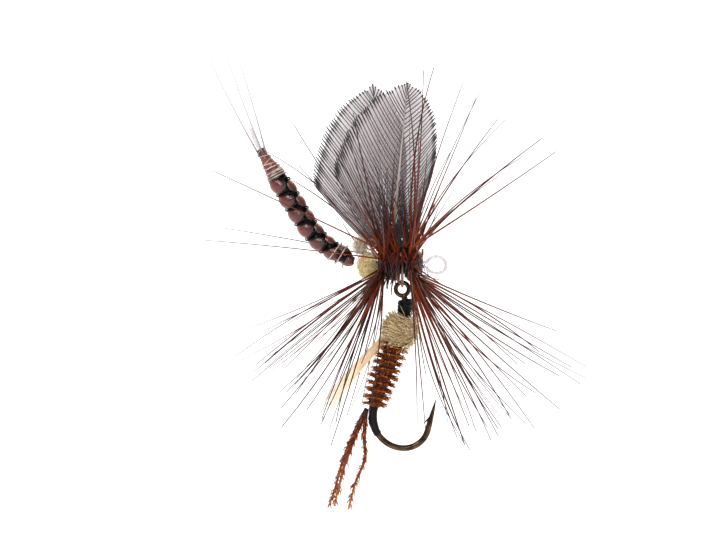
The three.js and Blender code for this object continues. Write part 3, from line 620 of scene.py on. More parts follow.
def slot_fill():
    """Black core inside the link, and wraps that cross over the slot above the link's reach."""
    core_axis = Line([(0, 0, -0.3), (-12, 0, -0.3)])
    inner = wound(core_axis, -FRONT_BED[1] - 0.1, -REAR_BED[0] + 0.1, level(0.74))
    turn = np.radians(np.linspace(-58, 58, 30))
    lift = np.repeat([[1.42, 1.62]], 15, axis=0).ravel()
    across, height = lift * np.sin(turn), AXIS_HEIGHT + lift * np.cos(turn)
    front = np.stack([0 * turn + FRONT_BED[1] + 0.3, across, height], -1)
    rear = front + [REAR_BED[0] - FRONT_BED[1] - 0.6, 0.12, 0]
    return inner, fibres(front, (front + rear) / 2, rear, 0.11, 0.11, steps=3, sides=6)


front_shape = wound(axis, -FRONT_BED[0], -FRONT_BED[1], front_radius)
front_shape = merge(front_shape, *crossing(-FRONT_BED[0] + 0.25, -FRONT_BED[1] - 0.3, 1.78, 1.2, 4, 1.6))
front_shape = merge(front_shape, *slot_fill())
rear_shape = wound(axis, -REAR_BED[0], -REAR_BED[1], rear_radius)
rear_shape = merge(rear_shape, *crossing(-REAR_BED[0] + 0.7, -REAR_BED[0] + 2.3, 1.84, -0.8, 5, 1.3))
binding = (-high("wing_binding")[0], -low("wing_binding")[0])
binding_shape = wound(axis, *binding, lambda t: 1.8 + 0.13 * np.sin(math.pi * t) ** 0.5)
binding_shape = merge(binding_shape, *crossing(binding[0] + 0.05, binding[1] - 0.05, 1.89, 0.7, 5, 1.25))
beds = {"thorax_thread_front": front_shape, "thorax_thread_rear": rear_shape, "wing_binding": binding_shape}
for name, shape in beds.items():
    piece(name, shape, black_thread, "dun", [name])

# %% [markdown]
# ## Hackles
# A cock hackle is a feather wound round the thread by its quill, so its barbs stand out like spokes. Each
# hackle here is a few fans of barbs. A fan has a range of angles in the side view, a range of angles out of
# that view, and a range of lengths, and the random numbers only spread the barbs inside it. A barb is
# dropped where the abdomen, the link ring or the nymph would swing through it.

# %% Room for what moves. Each zone is (x from its joint, lowest or highest z, half its width across).
flex = JOINTS["abdomen_flex"]
ABDOMEN_ROOM = (1.5, -1.6, 1.9)
TAIL_ROOM = (-6, 8, 4)
RING_ROOM = (0.45, -0.3, 2.4)
# The nymph's room starts at a height, has a half width at each depth, and widens by slopes as it swings.
NYMPH_TOP = -1.2
NYMPH_DEPTHS = [1.6, 4.4, 5.2, 9, 10, 20, 27]
NYMPH_HALVES = [1.15, 1.15, 2.2, 2.2, 1.9, 1.3, 0.8]
NYMPH_FORE = (2.2, 0.36)
NYMPH_AFT = (1.7, 1.15)
NYMPH_SIDE_SLOPE = 0.27


def stays_clear(spine):
    """True for each barb that keeps out of the rooms of the abdomen, its tails, the ring and the nymph."""
    x, side, z = spine[..., 0], np.abs(spine[..., 1]), spine[..., 2]
    abdomen = (x < flex[0] + ABDOMEN_ROOM[0]) & (z > ABDOMEN_ROOM[1]) & (side < ABDOMEN_ROOM[2])
    tails = (x < flex[0] + TAIL_ROOM[0]) & (z > TAIL_ROOM[1]) & (side < TAIL_ROOM[2])
    ring = (np.abs(x - LINK_X) < RING_ROOM[0]) & (z < RING_ROOM[1]) & (side < RING_ROOM[2])
    drop = NYMPH_TOP - z
    fore = x < LINK_X + NYMPH_FORE[0] + NYMPH_FORE[1] * drop
    aft = x > LINK_X - NYMPH_AFT[0] - NYMPH_AFT[1] * drop
    half = np.interp(-z, NYMPH_DEPTHS, NYMPH_HALVES) + NYMPH_SIDE_SLOPE * (CORE_HEIGHT - z)
    nymph = (drop > 0) & (side < half) & fore & aft
    return ~(abdomen | tails | nymph | ring).any(1)


# %% Barbs in fans
BARB_RINGS = 15
BARB_SIDES = 5


def clear_barbs(root, middle, tip, thick):
    """Barbs along bow curves, thinning as 1 - 0.64 t^0.8, less those that get in the way."""
    t = np.linspace(0, 1, BARB_RINGS)[None, :, None]
    spine = bow_curves(root, middle, tip, t)
    spine = spine[stays_clear(spine)]
    size = thick * (1 - 0.64 * t[..., 0] ** 0.8) * spread(len(spine), 0.7, 1.15)[:, None]
    return strands(spine, size, BARB_SIDES)


def barb_count(shape):
    """Number of barbs in a shape made of nothing else."""
    return len(shape[0]) // (BARB_RINGS * BARB_SIDES)


def fan(root_x, radius, count, elevation, side, length, hand, bow=0.05, thick=0.13, place=None):
    """Barbs whose direction is (cos e cos s, hand sin s, sin e cos s), e and s being spread over their
    ranges in degrees. They leave the bed radially, and bow outwards by a share of their length."""
    e = np.radians(np.linspace(*elevation, count) + spread(count, -4.5, 4.5))
    s = np.radians(spread(count, *side))
    aim = np.stack([np.cos(e) * np.cos(s), hand * np.sin(s), np.sin(e) * np.cos(s)], -1)
    radial = unit(aim * [0, 1, 1])
    reach = spread(count, *length)[:, None]
    root = np.stack([spread(count, *(place or root_x)), 0 * e, AXIS_HEIGHT + 0 * e], -1) + radial * radius
    sway = chance.normal(0, 0.035, (count, 3)) * reach
    middle = root + aim * reach * 0.45 + radial * reach * bow + sway
    tip = root + aim * reach
    return clear_barbs(root, middle, tip, thick)


def hackle(name, collar, radius, fans):
    """Barb fans in one piece and the wound quill in another, both on the dun."""
    roots = (collar[1] + 0.15, collar[0] - 0.15)
    shapes = [fan(roots, radius, *settings) for settings in fans]
    shape = merge(*[made for made in shapes if len(made[0])])
    barbs = barb_count(shape)
    piece(name, shape, cock_hackle, "dun", [name], tints(shape, barbs))
    line = helix(axis, -collar[0] + 0.1, -collar[1] - 0.1, level(radius + 0.12), QUILL_TURNS, 0.27)
    piece(name + "_quill", line, hackle_quill, "dun")
    print(name, "barbs", barbs)


QUILL_TURNS = 2.2
# Each fan: count, elevation, side, length, hand (-1 is the near side), bow, half thickness, and a range of
# x where that is not the collar.
FRONT_COLLAR = (high("thorax_thread_front")[0] - 0.08, high("thorax_thread_front")[0] - 1.03)
FRONT_FANS = [
    (12, (-25, -54), (25, 36), (22, 25), -1, 0.03, 0.12),
    (7, (-24, -60), (25, 38), (19, 24), 1, 0.03),
    (17, (-54, -86), (31, 40), (22, 25), -1, 0.07, 0.13),
    (12, (-56, -88), (31, 40), (20, 24.5), 1, 0.07, 0.12),
    (12, (-60, -71), (31, 36), (23, 25), -1, 0.08, 0.16),
    (9, (-42, -62), (20, 34), (18, 24), -1, 0.04, 0.12),
    (5, (34, 66), (8, 26), (17, 22), -1),
    (3, (40, 88), (8, 28), (17, 22), 1),
    (4, (74, 92), (16, 22), (19, 21.5), -1),
    (4, (-80, -40), (55, 80), (17, 23), -1),
    (5, (-80, -40), (55, 80), (17, 22.5), 1),
    (5, (44, 92), (50, 80), (17, 23), -1),
    (6, (44, 92), (50, 80), (17, 22.5), 1),
    (10, (66, 112), (14, 26), (5, 12), -1, 0.02, 0.11, (-3.8, -1.9)),
    (9, (-80, -20), (24, 60), (2.6, 5.5), -1, 0.1, 0.14),
]
REAR_COLLAR = (low("thorax_thread_rear")[0] + 0.83, low("thorax_thread_rear")[0] + 0.08)
REAR_FANS = [
    (16, (-124, -154), (24, 38), (18, 23), -1, 0.04, 0.11),
    (9, (-122, -155), (24, 40), (16, 22), 1, 0.04, 0.1),
    (19, (-98, -128), (31, 40), (19, 23.5), -1, 0.08, 0.13),
    (10, (-98, -126), (31, 42), (18, 23), 1, 0.08, 0.11),
    (3, (144, 170), (13, 22), (20, 22), -1),
    (3, (142, 168), (13, 26), (18, 22), 1),
    (5, (98, 136), (20, 32), (13, 20), -1),
    (4, (104, 140), (22, 34), (14, 20), 1),
    (13, (80, 114), (13, 26), (5, 12.5), -1, 0.02, 0.11, (-6.3, -4.0)),
    (4, (92, 132), (55, 80), (16, 22), -1),
    (5, (92, 132), (55, 80), (16, 22), 1),
    (4, (212, 256), (55, 80), (16, 22), -1),
    (5, (212, 256), (55, 80), (16, 22), 1),
    (12, (84, 130), (16, 50), (2.6, 6), -1, 0.1, 0.14, (-6.6, -4.2)),
    (10, (-92, -140), (30, 60), (2.6, 5), -1, 0.1, 0.14, (-6.6, -4.4)),
]

# %% Two bared ends of quill, one across the thorax and one down it
QUILL_PATHS = [
    [(-4.1, -1.75, 1.3), (-3.2, -2.12, 0.25), (-2.1, -2.0, 0.5), (-1.62, -1.75, 0.9), (-1.5, -1.1, 1.75)],
    [(-4.3, -1.9, 0.9), (-4.45, -2.1, -0.6), (-4.1, -1.75, -1.9), (-3.6, -1.8, -2.2)],
]
quills = [swept(Line(smooth_curve(path, 40)), lambda t: 0.15 - 0.03 * t, 10) for path in QUILL_PATHS]
piece("loose_quill", merge(*quills), hackle_quill, "dun")

# %% Short broken barbs, bound down across both sides of the thorax
SCRUFF = 84
scruff_hand = np.where(np.arange(SCRUFF) % 5 > 1, -1, 1)


def about_thorax(x, angle, radius):
    """Points round the thorax: x, side radius cos angle, height radius sin angle."""
    return np.stack([x, scruff_hand * radius * np.cos(angle), AXIS_HEIGHT + radius * np.sin(angle)], -1)


scruff_x = spread(SCRUFF, -5.8, -2.2)
drift = spread(SCRUFF, -2.0, 1.6)
start_turn = np.radians(spread(SCRUFF, 15, 75))
end_turn = np.radians(spread(SCRUFF, -58, -12))
scruff_root = about_thorax(scruff_x, start_turn, 1.95)
scruff_middle = about_thorax(scruff_x + 0.5 * drift, (start_turn + end_turn) / 2, 2.9)
scruff_tip = about_thorax(scruff_x + drift, end_turn, spread(SCRUFF, 2.2, 3.8))
scruff = clear_barbs(scruff_root, scruff_middle, scruff_tip, 0.15)
scruff_tint = tints(scruff, barb_count(scruff)) ** 0.4
piece("thorax_scruff", scruff, cock_hackle, "dun", (), scruff_tint)
hackle("hackle_front", FRONT_COLLAR, 1.74, FRONT_FANS)
hackle("hackle_rear", REAR_COLLAR, 1.56, REAR_FANS)

# %% [markdown]
# ## Wings
# Each wing is one whole feather tip, set upright. A real vane is a row of barbs that leave the rachis at a
# sharp angle and end at the outline, where they part a little and turn black. The barbs are flat fibres
# that end at even steps along the outline, and a thin pale web joins them, short of their tips.

# %% Vanes
WING_LENGTH = 18.3
WING_TILT = math.radians(10)
FRONT_VANE = [(0.07, 0), (0.12, 0.5), (0.33, 0.82), (0.57, 1), (0.8, 0.86), (0.93, 0.52), (1, 0)]
REAR_VANE = [(0.05, 0), (0.14, 0.45), (0.3, 0.88), (0.43, 1)]
REAR_VANE += [(0.6, 0.91), (0.76, 0.73), (0.9, 0.44), (1, 0)]
WING_BARB_PITCH = 0.35
WING_BARB_STEPS = 12
WING_BARB_SIDES = 4
WING_FOOT_SPREAD = 2.1
WING_CUP = 0.008
WEB_REACH = 0.94
WEB_HALF = 0.012


def vane(outline, width, start, crowd):
    """Roots, middles and tips of a vane's barbs, as (along the rachis, across it) in millimetres. Tips are
    evenly spaced on the outline above start, and the roots climb as the tip's share to the power crowd."""
    line = Line(smooth_curve([(share * WING_LENGTH, 0, w * width) for share, w in outline], 90))
    lowest = np.interp(start * WING_LENGTH, line.points[:, 0], line.marks)
    count = int((line.length - lowest) / WING_BARB_PITCH)
    marks = np.linspace(lowest, line.length * 0.997, count) + 0.06 * np.sin(np.arange(count) * 1.3)
    tip = line.at(marks)[:, ::2]
    share = np.clip((tip[:, 0] / WING_LENGTH - start) / (1 - start), 0, 1)
    spread_out = np.sign(width) * WING_FOOT_SPREAD * (1 - share) ** 2.5
    root = np.stack([0.2 + (WING_LENGTH - 0.9) * share**crowd, spread_out], -1)
    tip = tip * (1 + chance.normal(0, 0.005, (count, 1)))
    middle = root + (tip - root) * [0.46, 0.53]
    return root, middle, tip


def wing(name, foot, lean, outwards, front, rear, rear_start):
    """One wing from its two vanes. up, across and out are the CAD wing's own directions."""
    tilt, lean = -outwards * WING_TILT, math.radians(lean)
    up = np.array([math.sin(lean), -math.sin(tilt) * math.cos(lean), math.cos(tilt) * math.cos(lean)])
    over = np.array([math.cos(lean), math.sin(tilt) * math.sin(lean), -math.cos(tilt) * math.sin(lean)])
    out = np.cross(up, over)

    def place(spots):
        """Flat spots to space, cupped by a share of the square of the distance from the rachis."""
        cup = WING_CUP * outwards * spots[:, 1:] ** 2
        return np.array(foot) + spots[:, :1] * up + spots[:, 1:] * over - cup * out

    blades, webs = [], []
    reach = np.linspace(0, WEB_REACH, 8)[:, None]
    vanes = ((FRONT_VANE, front, 0.27, 1.6), (REAR_VANE, -rear, rear_start, 2.0))
    for outline, width, start, crowd in vanes:
        root, middle, tip = vane(outline, width, start, crowd)
        ends = [place(spots) for spots in (root, middle, tip)]
        counts = {"steps": WING_BARB_STEPS, "sides": WING_BARB_SIDES}
        blades.append(fibres(*ends, 0.062, 0.055, **counts, flat=0.7, normal=out, bead=1.9))
        web = bow_curves(*ends, reach)
        faces = [web + half * out for half in (WEB_HALF, -WEB_HALF)]
        points, quads, _ = skin(np.concatenate([faces[0], faces[1][:, ::-1]], axis=1))
        share = np.concatenate([reach[:, 0], reach[::-1, 0]]) / WEB_REACH
        webs.append((points, quads, np.concatenate([np.tile(share, len(root)), [0.5, 0.5]])))
    barbs, web = merge(*blades), merge(*webs)
    count = len(barbs[0]) // ((WING_BARB_STEPS + 1) * WING_BARB_SIDES)
    piece(name, barbs, wing_barb, "dun", [name], tints(barbs, count))
    piece(name + "_web", web, wing_web, "dun", (), chance.random(len(web[0])))
    stem = Line(np.array(foot) + np.linspace(0, WING_LENGTH - 0.3, 30)[:, None] * up)
    finish_stem = pale_rachis if outwards < 0 else dark_rachis
    stem_shape = swept(stem, lambda t: 0.17 - 0.12 * t, 8)
    piece(name + "_rachis", stem_shape, finish_stem, "dun")


WING_FOOT = high("wing_binding")[2] + 0.03
wing("wing_near", (-4.9, -0.42, WING_FOOT), 5.4, -1, 3.9, 7.2, 0.42)
wing("wing_far", (-5.35, 0.42, WING_FOOT), -5.2, 1, 3.0, 7.6, 0.41)

# %% Soft dark fibres at the wing roots
ROOT_FANS = [
    (16, (84, 112), (8, 15), (3.5, 8.5), -1, 0.01, 0.09, (-5.8, -4.2)),
    (10, (90, 122), (4, 12), (4, 9.5), 1, 0.01, 0.09, (-5.8, -4.2)),
    (14, (66, 98), (2, 16), (2.5, 6.5), -1, 0.01, 0.1, (-4.4, -2.4)),
    (10, (70, 100), (2, 16), (2.5, 6.5), 1, 0.01, 0.1, (-4.4, -2.4)),
    (28, (78, 104), (0, 16), (1.8, 3.8), -1, 0.01, 0.14, (-6.1, -2.5)),
]
root_shape = merge(*[fan((0, 0), 1.7, *settings) for settings in ROOT_FANS])
root_tint = tints(root_shape, barb_count(root_shape))
piece("wing_root_fibres", root_shape, wing_barb, "dun", (), root_tint)

# %% [markdown]
# ## Dubbing
# Dubbing is fur spun on the thread. A lumpy solid gives it its body, and hundreds of short fibres, lying
# mostly along the surface, give it the soft edge that tells fur from clay.

# %% Fur on a form


def lumpy(centre, radii, lump=0.06, sides=40, rings=26):
    """Ellipsoid with radius times 1 + lump * (sin(4u + 3v) + sin(7u - 5v)) / 2, v running pole to pole."""
    v = np.linspace(0.06, math.pi - 0.06, rings)[:, None]
    u = full_turn(sides)[None, :]
    swell = 1 + lump * (np.sin(4 * u + 3 * v) + np.sin(7 * u - 5 * v)) / 2
    ball = np.stack([np.sin(v) * np.cos(u), np.sin(v) * np.sin(u), np.cos(v) + 0 * u], -1)
    return skin(np.array(centre) + swell[..., None] * ball * radii)


def fur(root, outward, length, lift, thick, sway=None):
    """Short fibres: root + sideways * reach, lifted by a share of the reach. sideways is a random
    direction on the surface, drawn towards sway where that is given."""
    count = len(root)
    wander = chance.normal(size=(count, 3)) + (0 if sway is None else sway)
    along = unit(wander - (wander * outward).sum(-1, keepdims=True) * outward)
    reach = length * spread(count, 0.45, 1.0)[:, None]
    middle = root + along * reach * 0.5 + outward * reach * lift * 1.5
    tip = root + along * reach + outward * reach * lift * spread(count, -0.2, 1.4)[:, None]
    return fibres(root, middle, tip, thick, thick * 0.5, steps=5)


def ball_roots(centre, radii, count):
    """Random places on an ellipsoid and the directions out of it."""
    way = unit(chance.normal(size=(count, 3)))
    return np.array(centre) + way * radii * 0.97, unit(way / radii)


def dubbing(name, count, material, length, lift, shrink, shift):
    """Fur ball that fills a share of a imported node's box, moved along x to leave the abdomen room."""
    centre = (low(name) + high(name)) / 2 + [shift, 0, 0]
    radii = (high(name) - low(name)) / 2 * shrink
    core = lumpy(centre, radii)
    hair = fur(*ball_roots(centre, radii, count), length, lift, 0.035)
    shape, tint = furred(core, 0.35, hair, count)
    piece(name, shape, material, "dun", [name], tint)


dubbing("rear_dubbing", 620, yellow_fur, 1.2, 0.14, 0.9, 0.18)
dubbing("dubbing_tuft", 260, beige_fur, 1.0, 0.26, 0.8, -0.1)

# %% Keeper ring of nylon behind the wings, on the near side, with its foot under the thread, its brown painted from what is round it
KEEPER_WIRE = 0.19
KEEPER_RADIUS = 0.59
KEEPER_SIDE = -1.4
keeper_height = high("keeper_ring")[2] - KEEPER_RADIUS - KEEPER_WIRE / 2
keeper_centre = np.array([low("keeper_ring")[0] + KEEPER_RADIUS, KEEPER_SIDE, keeper_height])
foot_end = (REAR_BED[1] - 0.2, 0.5 * KEEPER_SIDE, AXIS_HEIGHT + 0.55)
foot_line = Line([keeper_centre - np.array([0, 0, KEEPER_RADIUS]), foot_end])
keeper_foot = swept(foot_line, KEEPER_WIRE / 2, 10, 8)
keeper = merge(loop_tube(keeper_centre, KEEPER_RADIUS, KEEPER_WIRE), keeper_foot)
piece("keeper_ring", keeper, nylon_painted_with_surround, "dun", ["keeper_ring"])

# %% [markdown]
# ## Link ring
# A loose ring of thinner nylon hangs from the core strand and holds the eye of the hook. It is a true ring
# of round wire, with a small knot where its ends were joined.

# %% Link ring and its knot
LINK_WIRE = 0.3
link_low, link_high = low("link_ring"), high("link_ring")
link_radius = (link_high[2] - link_low[2] - LINK_WIRE) / 2
link_centre = np.array([LINK_X, 0, (link_low[2] + link_high[2]) / 2])
ring_shape = loop_tube(link_centre, link_radius, LINK_WIRE, 14, 90, "x")
knot_angle = np.linspace(0.35, 0.75, 8)
knot_points = link_radius * np.stack([0 * knot_angle, np.cos(knot_angle), np.sin(knot_angle)], -1)
knot_line = Line(link_centre + knot_points, side=(1, 0, 0))
knot = helix(knot_line, 0.02, knot_line.length - 0.02, level(0.19), 4, 0.13, 0.0, 8, 16)
# The ring's rose brown is painted, standing for the brown round it that it reflects and shows through.
piece("link_ring", merge(ring_shape, knot), nylon_painted_with_surround, "link", ["link_ring"])

# %% [markdown]
# ## Woven abdomen of the dun
# The abdomen stands up and back from the thorax. On the real fly two strands are woven round a glossy black
# underbody, so each turn shows a broad lobe from below and a narrow one from above, with black between
# them. Each lobe is a short fat tube that goes part of the way round, so the weave has its real relief.

# %% Sizes and line of the abdomen
ABDOMEN_HEADING = 165
ABDOMEN_RUNS = [(9.1, -43), (9.8,)]
CORE_END_RUNS = [(8, -14), (0.6,)]
CORE_RADIUS = 0.2
ABDOMEN_RADIUS = 1.3
TIP_RADIUS = 0.55
WEAVE_PITCH = 1.9
STRAND_LENGTH = 13.2
REAR_BINDING = 3.4
abdomen = Line(wire(flex, ABDOMEN_HEADING, ABDOMEN_RUNS))
core_line = Line(wire(flex, ABDOMEN_HEADING, ABDOMEN_RUNS + CORE_END_RUNS))


def abdomen_radius(distance):
    """Rounded front end, a swell of a fifth, and a smooth taper over the last quarter."""
    u = distance / abdomen.length
    front = np.sqrt(np.clip(distance / 0.9, 0.12, 1))
    swell = 0.8 + 0.2 * np.sin(math.pi * np.minimum(u / 1.2, 1))
    fall = np.clip((u - 0.72) / 0.28, 0, 1)
    fall = fall * fall * (3 - 2 * fall)
    return front * (ABDOMEN_RADIUS * swell * (1 - fall) + TIP_RADIUS * fall)


def lobes(first, last, middle_angle, reach, slant, thick, width):
    """One lobe per pitch. Its spine goes round the abdomen by reach radians each way from middle_angle, and
    slants along it. Thickness is full in the middle and falls as 1 - t^4 to the ends."""
    place = np.arange(first, last, WEAVE_PITCH)[:, None]
    t = np.linspace(-1, 1, 25)[None, :]
    distance = np.clip(place + slant * t * np.abs(t) ** 0.3, 0.05, STRAND_LENGTH)
    girth = abdomen_radius(place) / ABDOMEN_RADIUS
    size = width * girth * (1 - 0.72 * t**4)
    depth = thick / width
    centre = abdomen_radius(distance) - size * depth
    angle = np.broadcast_to(middle_angle + reach * t, distance.shape)
    spine = abdomen.ring(distance, centre, angle)
    outward = unit(spine - abdomen.at(distance))
    return strands(spine, size, 20, depth, outward, groove=0.025), len(place)


# %% Core strand, glossy underbody and the two woven strands
piece("body_core", swept(core_line, CORE_RADIUS, 12), nylon, "abdomen", ["body_core"])


def underbody_radius(t):
    """Inside the lobes, so that it shows only between them."""
    return abdomen_radius(np.clip(t, 0, 1) * STRAND_LENGTH) * 0.82


under = wound(abdomen, 0.02, STRAND_LENGTH, underbody_radius, 0.63, 0.13, 44, 12)
tie_ends = (1.7, STRAND_LENGTH - 0.6)
tie_turns = (tie_ends[1] - tie_ends[0]) / WEAVE_PITCH


def tie_radius(t):
    """A little inside the lobes, so that the tying thread shows as a bead at each notch."""
    return abdomen_radius(tie_ends[0] + (tie_ends[1] - tie_ends[0]) * t) * 0.9


under = merge(under, helix(abdomen, *tie_ends, tie_radius, tie_turns, 0.2))
piece("body_underwrap", under, black_gloss, "abdomen", ["body_underwrap"])
# Each strand: first lobe, middle angle, reach, slant, half thickness, half width.
STRANDS = {
    "body_strand_lower": (0.75, 0.0, 1.95, 0.4, 0.55, 1.0),
    "body_strand_upper": (1.7, math.pi, 1.05, -0.3, 0.46, 0.95),
}
# The floss of each lobe carries painted shade towards the lobe's two ends.
for name, (first, *settings) in STRANDS.items():
    weave, count = lobes(first, STRAND_LENGTH - 0.3, *settings)
    piece(name, weave, floss_with_painted_shade, "abdomen", [name], tints(weave, count))

# %% Clear thread at both ends, the rear one over a tapering cone
front_thread = helix(abdomen, 0.95, 2.6, level(1.24), 2, 0.14)
piece("front_binding", front_thread, clear_thread, "abdomen", ["front_binding"])
rear_first, rear_last = STRAND_LENGTH - 0.35, STRAND_LENGTH + REAR_BINDING


def cone_radius(t):
    """The abdomen's own taper, a little inside it."""
    return abdomen_radius(rear_first + (rear_last - rear_first) * t) * 0.93


# The cone's floss carries the same painted shade, darker towards both its ends.
cone = wound(core_line, rear_first, rear_last, cone_radius, 0.3, 0.06, 36)
piece("rear_binding", cone, floss_with_painted_shade, "abdomen", ["rear_binding"])
turns = [
    helix(core_line, rear_first, rear_last - 0.1, lambda t: cone_radius(t) + 0.02, 3.5, 0.1),
    helix(core_line, rear_first + 0.1, rear_last, lambda t: cone_radius(t) + 0.05, -2.5, 0.09, 1.0),
    helix(core_line, rear_first, rear_first + 1.5, lambda t: cone_radius(t * 0.4) + 0.04, 2.6, 0.13, 2.4),
    helix(core_line, rear_first + 0.3, rear_first + 1.2, lambda t: 1.15 - 0.2 * t, 2.2, 0.13, 2.0),
]
piece("rear_binding_thread", merge(*turns), clear_thread, "abdomen")

# %% Tail fibres of the dun, from the end of the binding
tail_base = abdomen.at(abdomen.length)
TAIL_INSET = np.array([0.45, 0, -0.75])
DUN_TAILS = {
    "dun_tail_left": [(-0.62, 0.1, 0.28), (-0.5, 0.3, -0.9), (-9.9, 1.2, 20.1)],
    "dun_tail_centre": [(-0.12, -0.36, 0.35), (-0.2, -0.6, -0.7), (-6.1, -2.2, 17.9)],
    "dun_tail_right": [(0.22, 0.12, 0.42), (0.4, 0.4, 0.3), (-4.9, 2.4, 17.2)],
}
for name, (root, bow, tip) in DUN_TAILS.items():
    ends = tail_base + np.array([np.array(root) + TAIL_INSET, tip])
    middle = ends[0] + (ends[1] - ends[0]) * 0.45 + bow
    hair = fibres(ends[:1], middle[None], ends[1:], 0.1, 0.035, steps=40, sides=8)
    piece(name, hair, tail_hair, "abdomen", [name])

# %% [markdown]
# ## Hook
# The hook is one bent wire with its eye turned on the end. The eye, shank, bend and point are runs of arcs
# and straights, and the point tapers, with a small barb cut up from it on the inner side.

# %% Hook wire, eye and barb
EYE_HOLE = 0.95
EYE_WIRE = 0.5
EYE_HEADING = -75.5
HOOK_RADIUS = 0.35
NECK_TURN = -33.2
SHANK_LENGTH = 9.56
POINT_LENGTH = 3.6
eye_radius = (EYE_HOLE + EYE_WIRE) / 2
eye = np.array([LINK_X, 0, high("hook")[2] - EYE_WIRE - EYE_HOLE / 2])
heading = math.radians(EYE_HEADING)
wire_start = eye + eye_radius * np.array([math.cos(heading), 0, math.sin(heading)])
HOOK_RUNS = [(4.6, NECK_TURN), (SHANK_LENGTH,), (5.6, -90 - EYE_HEADING - NECK_TURN)]
HOOK_RUNS += [(3.5, 90), (2.7, 75), (POINT_LENGTH,)]
hook = Line(wire(wire_start, EYE_HEADING, HOOK_RUNS))


def hook_radius(t):
    """Full to the point, then falling as the share of the point to the power 1.6."""
    start = 1 - POINT_LENGTH / hook.length
    return HOOK_RADIUS * (1 - 0.93 * np.clip((t - start) / (1 - start), 0, 1) ** 1.6)


barb_root = hook.at(hook.length - POINT_LENGTH * 0.55)
point_way = unit(hook.at(hook.length) - barb_root)
inward = np.array([-point_way[2], 0, point_way[0]])
inward = inward if inward[0] < 0 else -inward
# Each step of the barb: distance back from its root, and distance in from the wire.
BARB_STEPS = [(0, 0), (0.5, 0.3), (1.1, 0.75)]
barb_points = [barb_root - point_way * back + inward * rise for back, rise in BARB_STEPS]
barb_shape = swept(Line(smooth_curve(barb_points, 12)), lambda t: 0.2 - 0.18 * t, 10)
hook_shape = merge(swept(hook, hook_radius, 20), loop_tube(eye, eye_radius, EYE_WIRE, 20, 80), barb_shape)
piece("hook", hook_shape, black_nickel, "nymph", ["hook"])

# %% [markdown]
# ## Nymph
# The nymph is tied on the shank: black neck thread, a tan dubbed thorax, an abdomen of wound pheasant tail
# herl with a copper rib, and black thread down to the bend. Herl is a feather barb with a soft fringe, so
# each turn is a ridge that carries hundreds of very short barbules.

# %% Neck, bend thread and abdomen, as stretches of the hook from its eye
NECK = (0.45, 2.35)
THORAX = (2.38, 5.45)
HERL = (5.48, 12.85)
BEND_THREAD = (12.88, 16.15)
HERL_PITCH = 0.8
RIB_TURNS = 8


def hook_roots(s, radius, turn):
    """Roots round the hook at distances s, with the way out of it and the way along it at each root."""
    root = hook.ring(s, radius, turn)
    return root, unit(root - hook.at(s)), unit(hook.at(s + 0.1) - hook.at(s))


neck = wound(hook, *NECK, lambda t: 0.82 + 0.08 * np.sin(math.pi * t), 0.42, 0.15)
neck = merge(neck, *[helix(hook, 0.6, 2.2, level(0.82), 1.5, 0.1, 2.1 * k) for k in range(3)])
piece("neck_thread", neck, black_thread, "nymph", ["neck_thread"])
bend_shape = wound(hook, *BEND_THREAD, lambda t: 0.55 - 0.09 * t, 0.2, 0.05)
piece("bend_thread", bend_shape, black_thread, "nymph", ["bend_thread"])


def herl_radius(t):
    """Straight taper from the thorax to the bend."""
    return 1.14 - 0.3 * t


herl_body = wound(hook, *HERL, herl_radius, HERL_PITCH, 0.15, 48, 16)
BARBULES = 2400
place = np.sort(chance.random(BARBULES))
s = HERL[0] + (HERL[1] - HERL[0]) * (0.01 + 0.98 * place)
turn = -2 * math.pi * s / HERL_PITCH + math.pi + chance.normal(0, 0.9, BARBULES)
root, outward, ahead = hook_roots(s, herl_radius(place) - 0.12, turn)
reach = (0.25 + 0.75 * chance.random(BARBULES) ** 1.5)[:, None]
lean = ahead * spread(BARBULES, -0.3, 0.4)[:, None]
barbule_middle = root + outward * reach * 0.6
barbules = fibres(root, barbule_middle, root + (outward + lean) * reach, 0.055, 0.022, steps=3)
(points, faces, _), tint = furred(herl_body, 0.3, barbules, BARBULES)
along = np.concatenate([np.full(len(herl_body[0]), 0.35), barbules[2]])
piece("nymph_abdomen", (points, faces, along), pheasant, "nymph", ["nymph_abdomen"], tint)
rib = helix(hook, HERL[0] + 0.3, HERL[1] - 0.3, lambda t: herl_radius(t) + 0.04, -RIB_TURNS, 0.15)
piece("nymph_rib", rib, copper, "nymph", ["nymph_rib"])

# %% Dubbed thorax of the nymph, with loose fibres wrapped round it as they were spun


def thorax_radius(t):
    """Barrel: the end radius plus a sine to the power 0.6."""
    return 0.72 + 1.05 * np.sin(math.pi * (0.04 + 0.92 * t)) ** 0.6


thorax_core = wound(hook, *THORAX, thorax_radius, 0.75, 0.22, 48, 14)
THORAX_HAIRS = 1300
place = chance.random(THORAX_HAIRS)
turn = spread(THORAX_HAIRS, 0, 2 * math.pi)
s = THORAX[0] + (THORAX[1] - THORAX[0]) * place
root, outward, ahead = hook_roots(s, thorax_radius(place) - 0.12, turn)
hair = fur(root, outward, 1.7, 0.13, 0.045, 2.6 * np.cross(ahead, outward))
shape, tint = furred(thorax_core, 0.4, hair, THORAX_HAIRS)
piece("nymph_thorax", shape, tan_fur, "nymph", ["nymph_thorax"], tint)

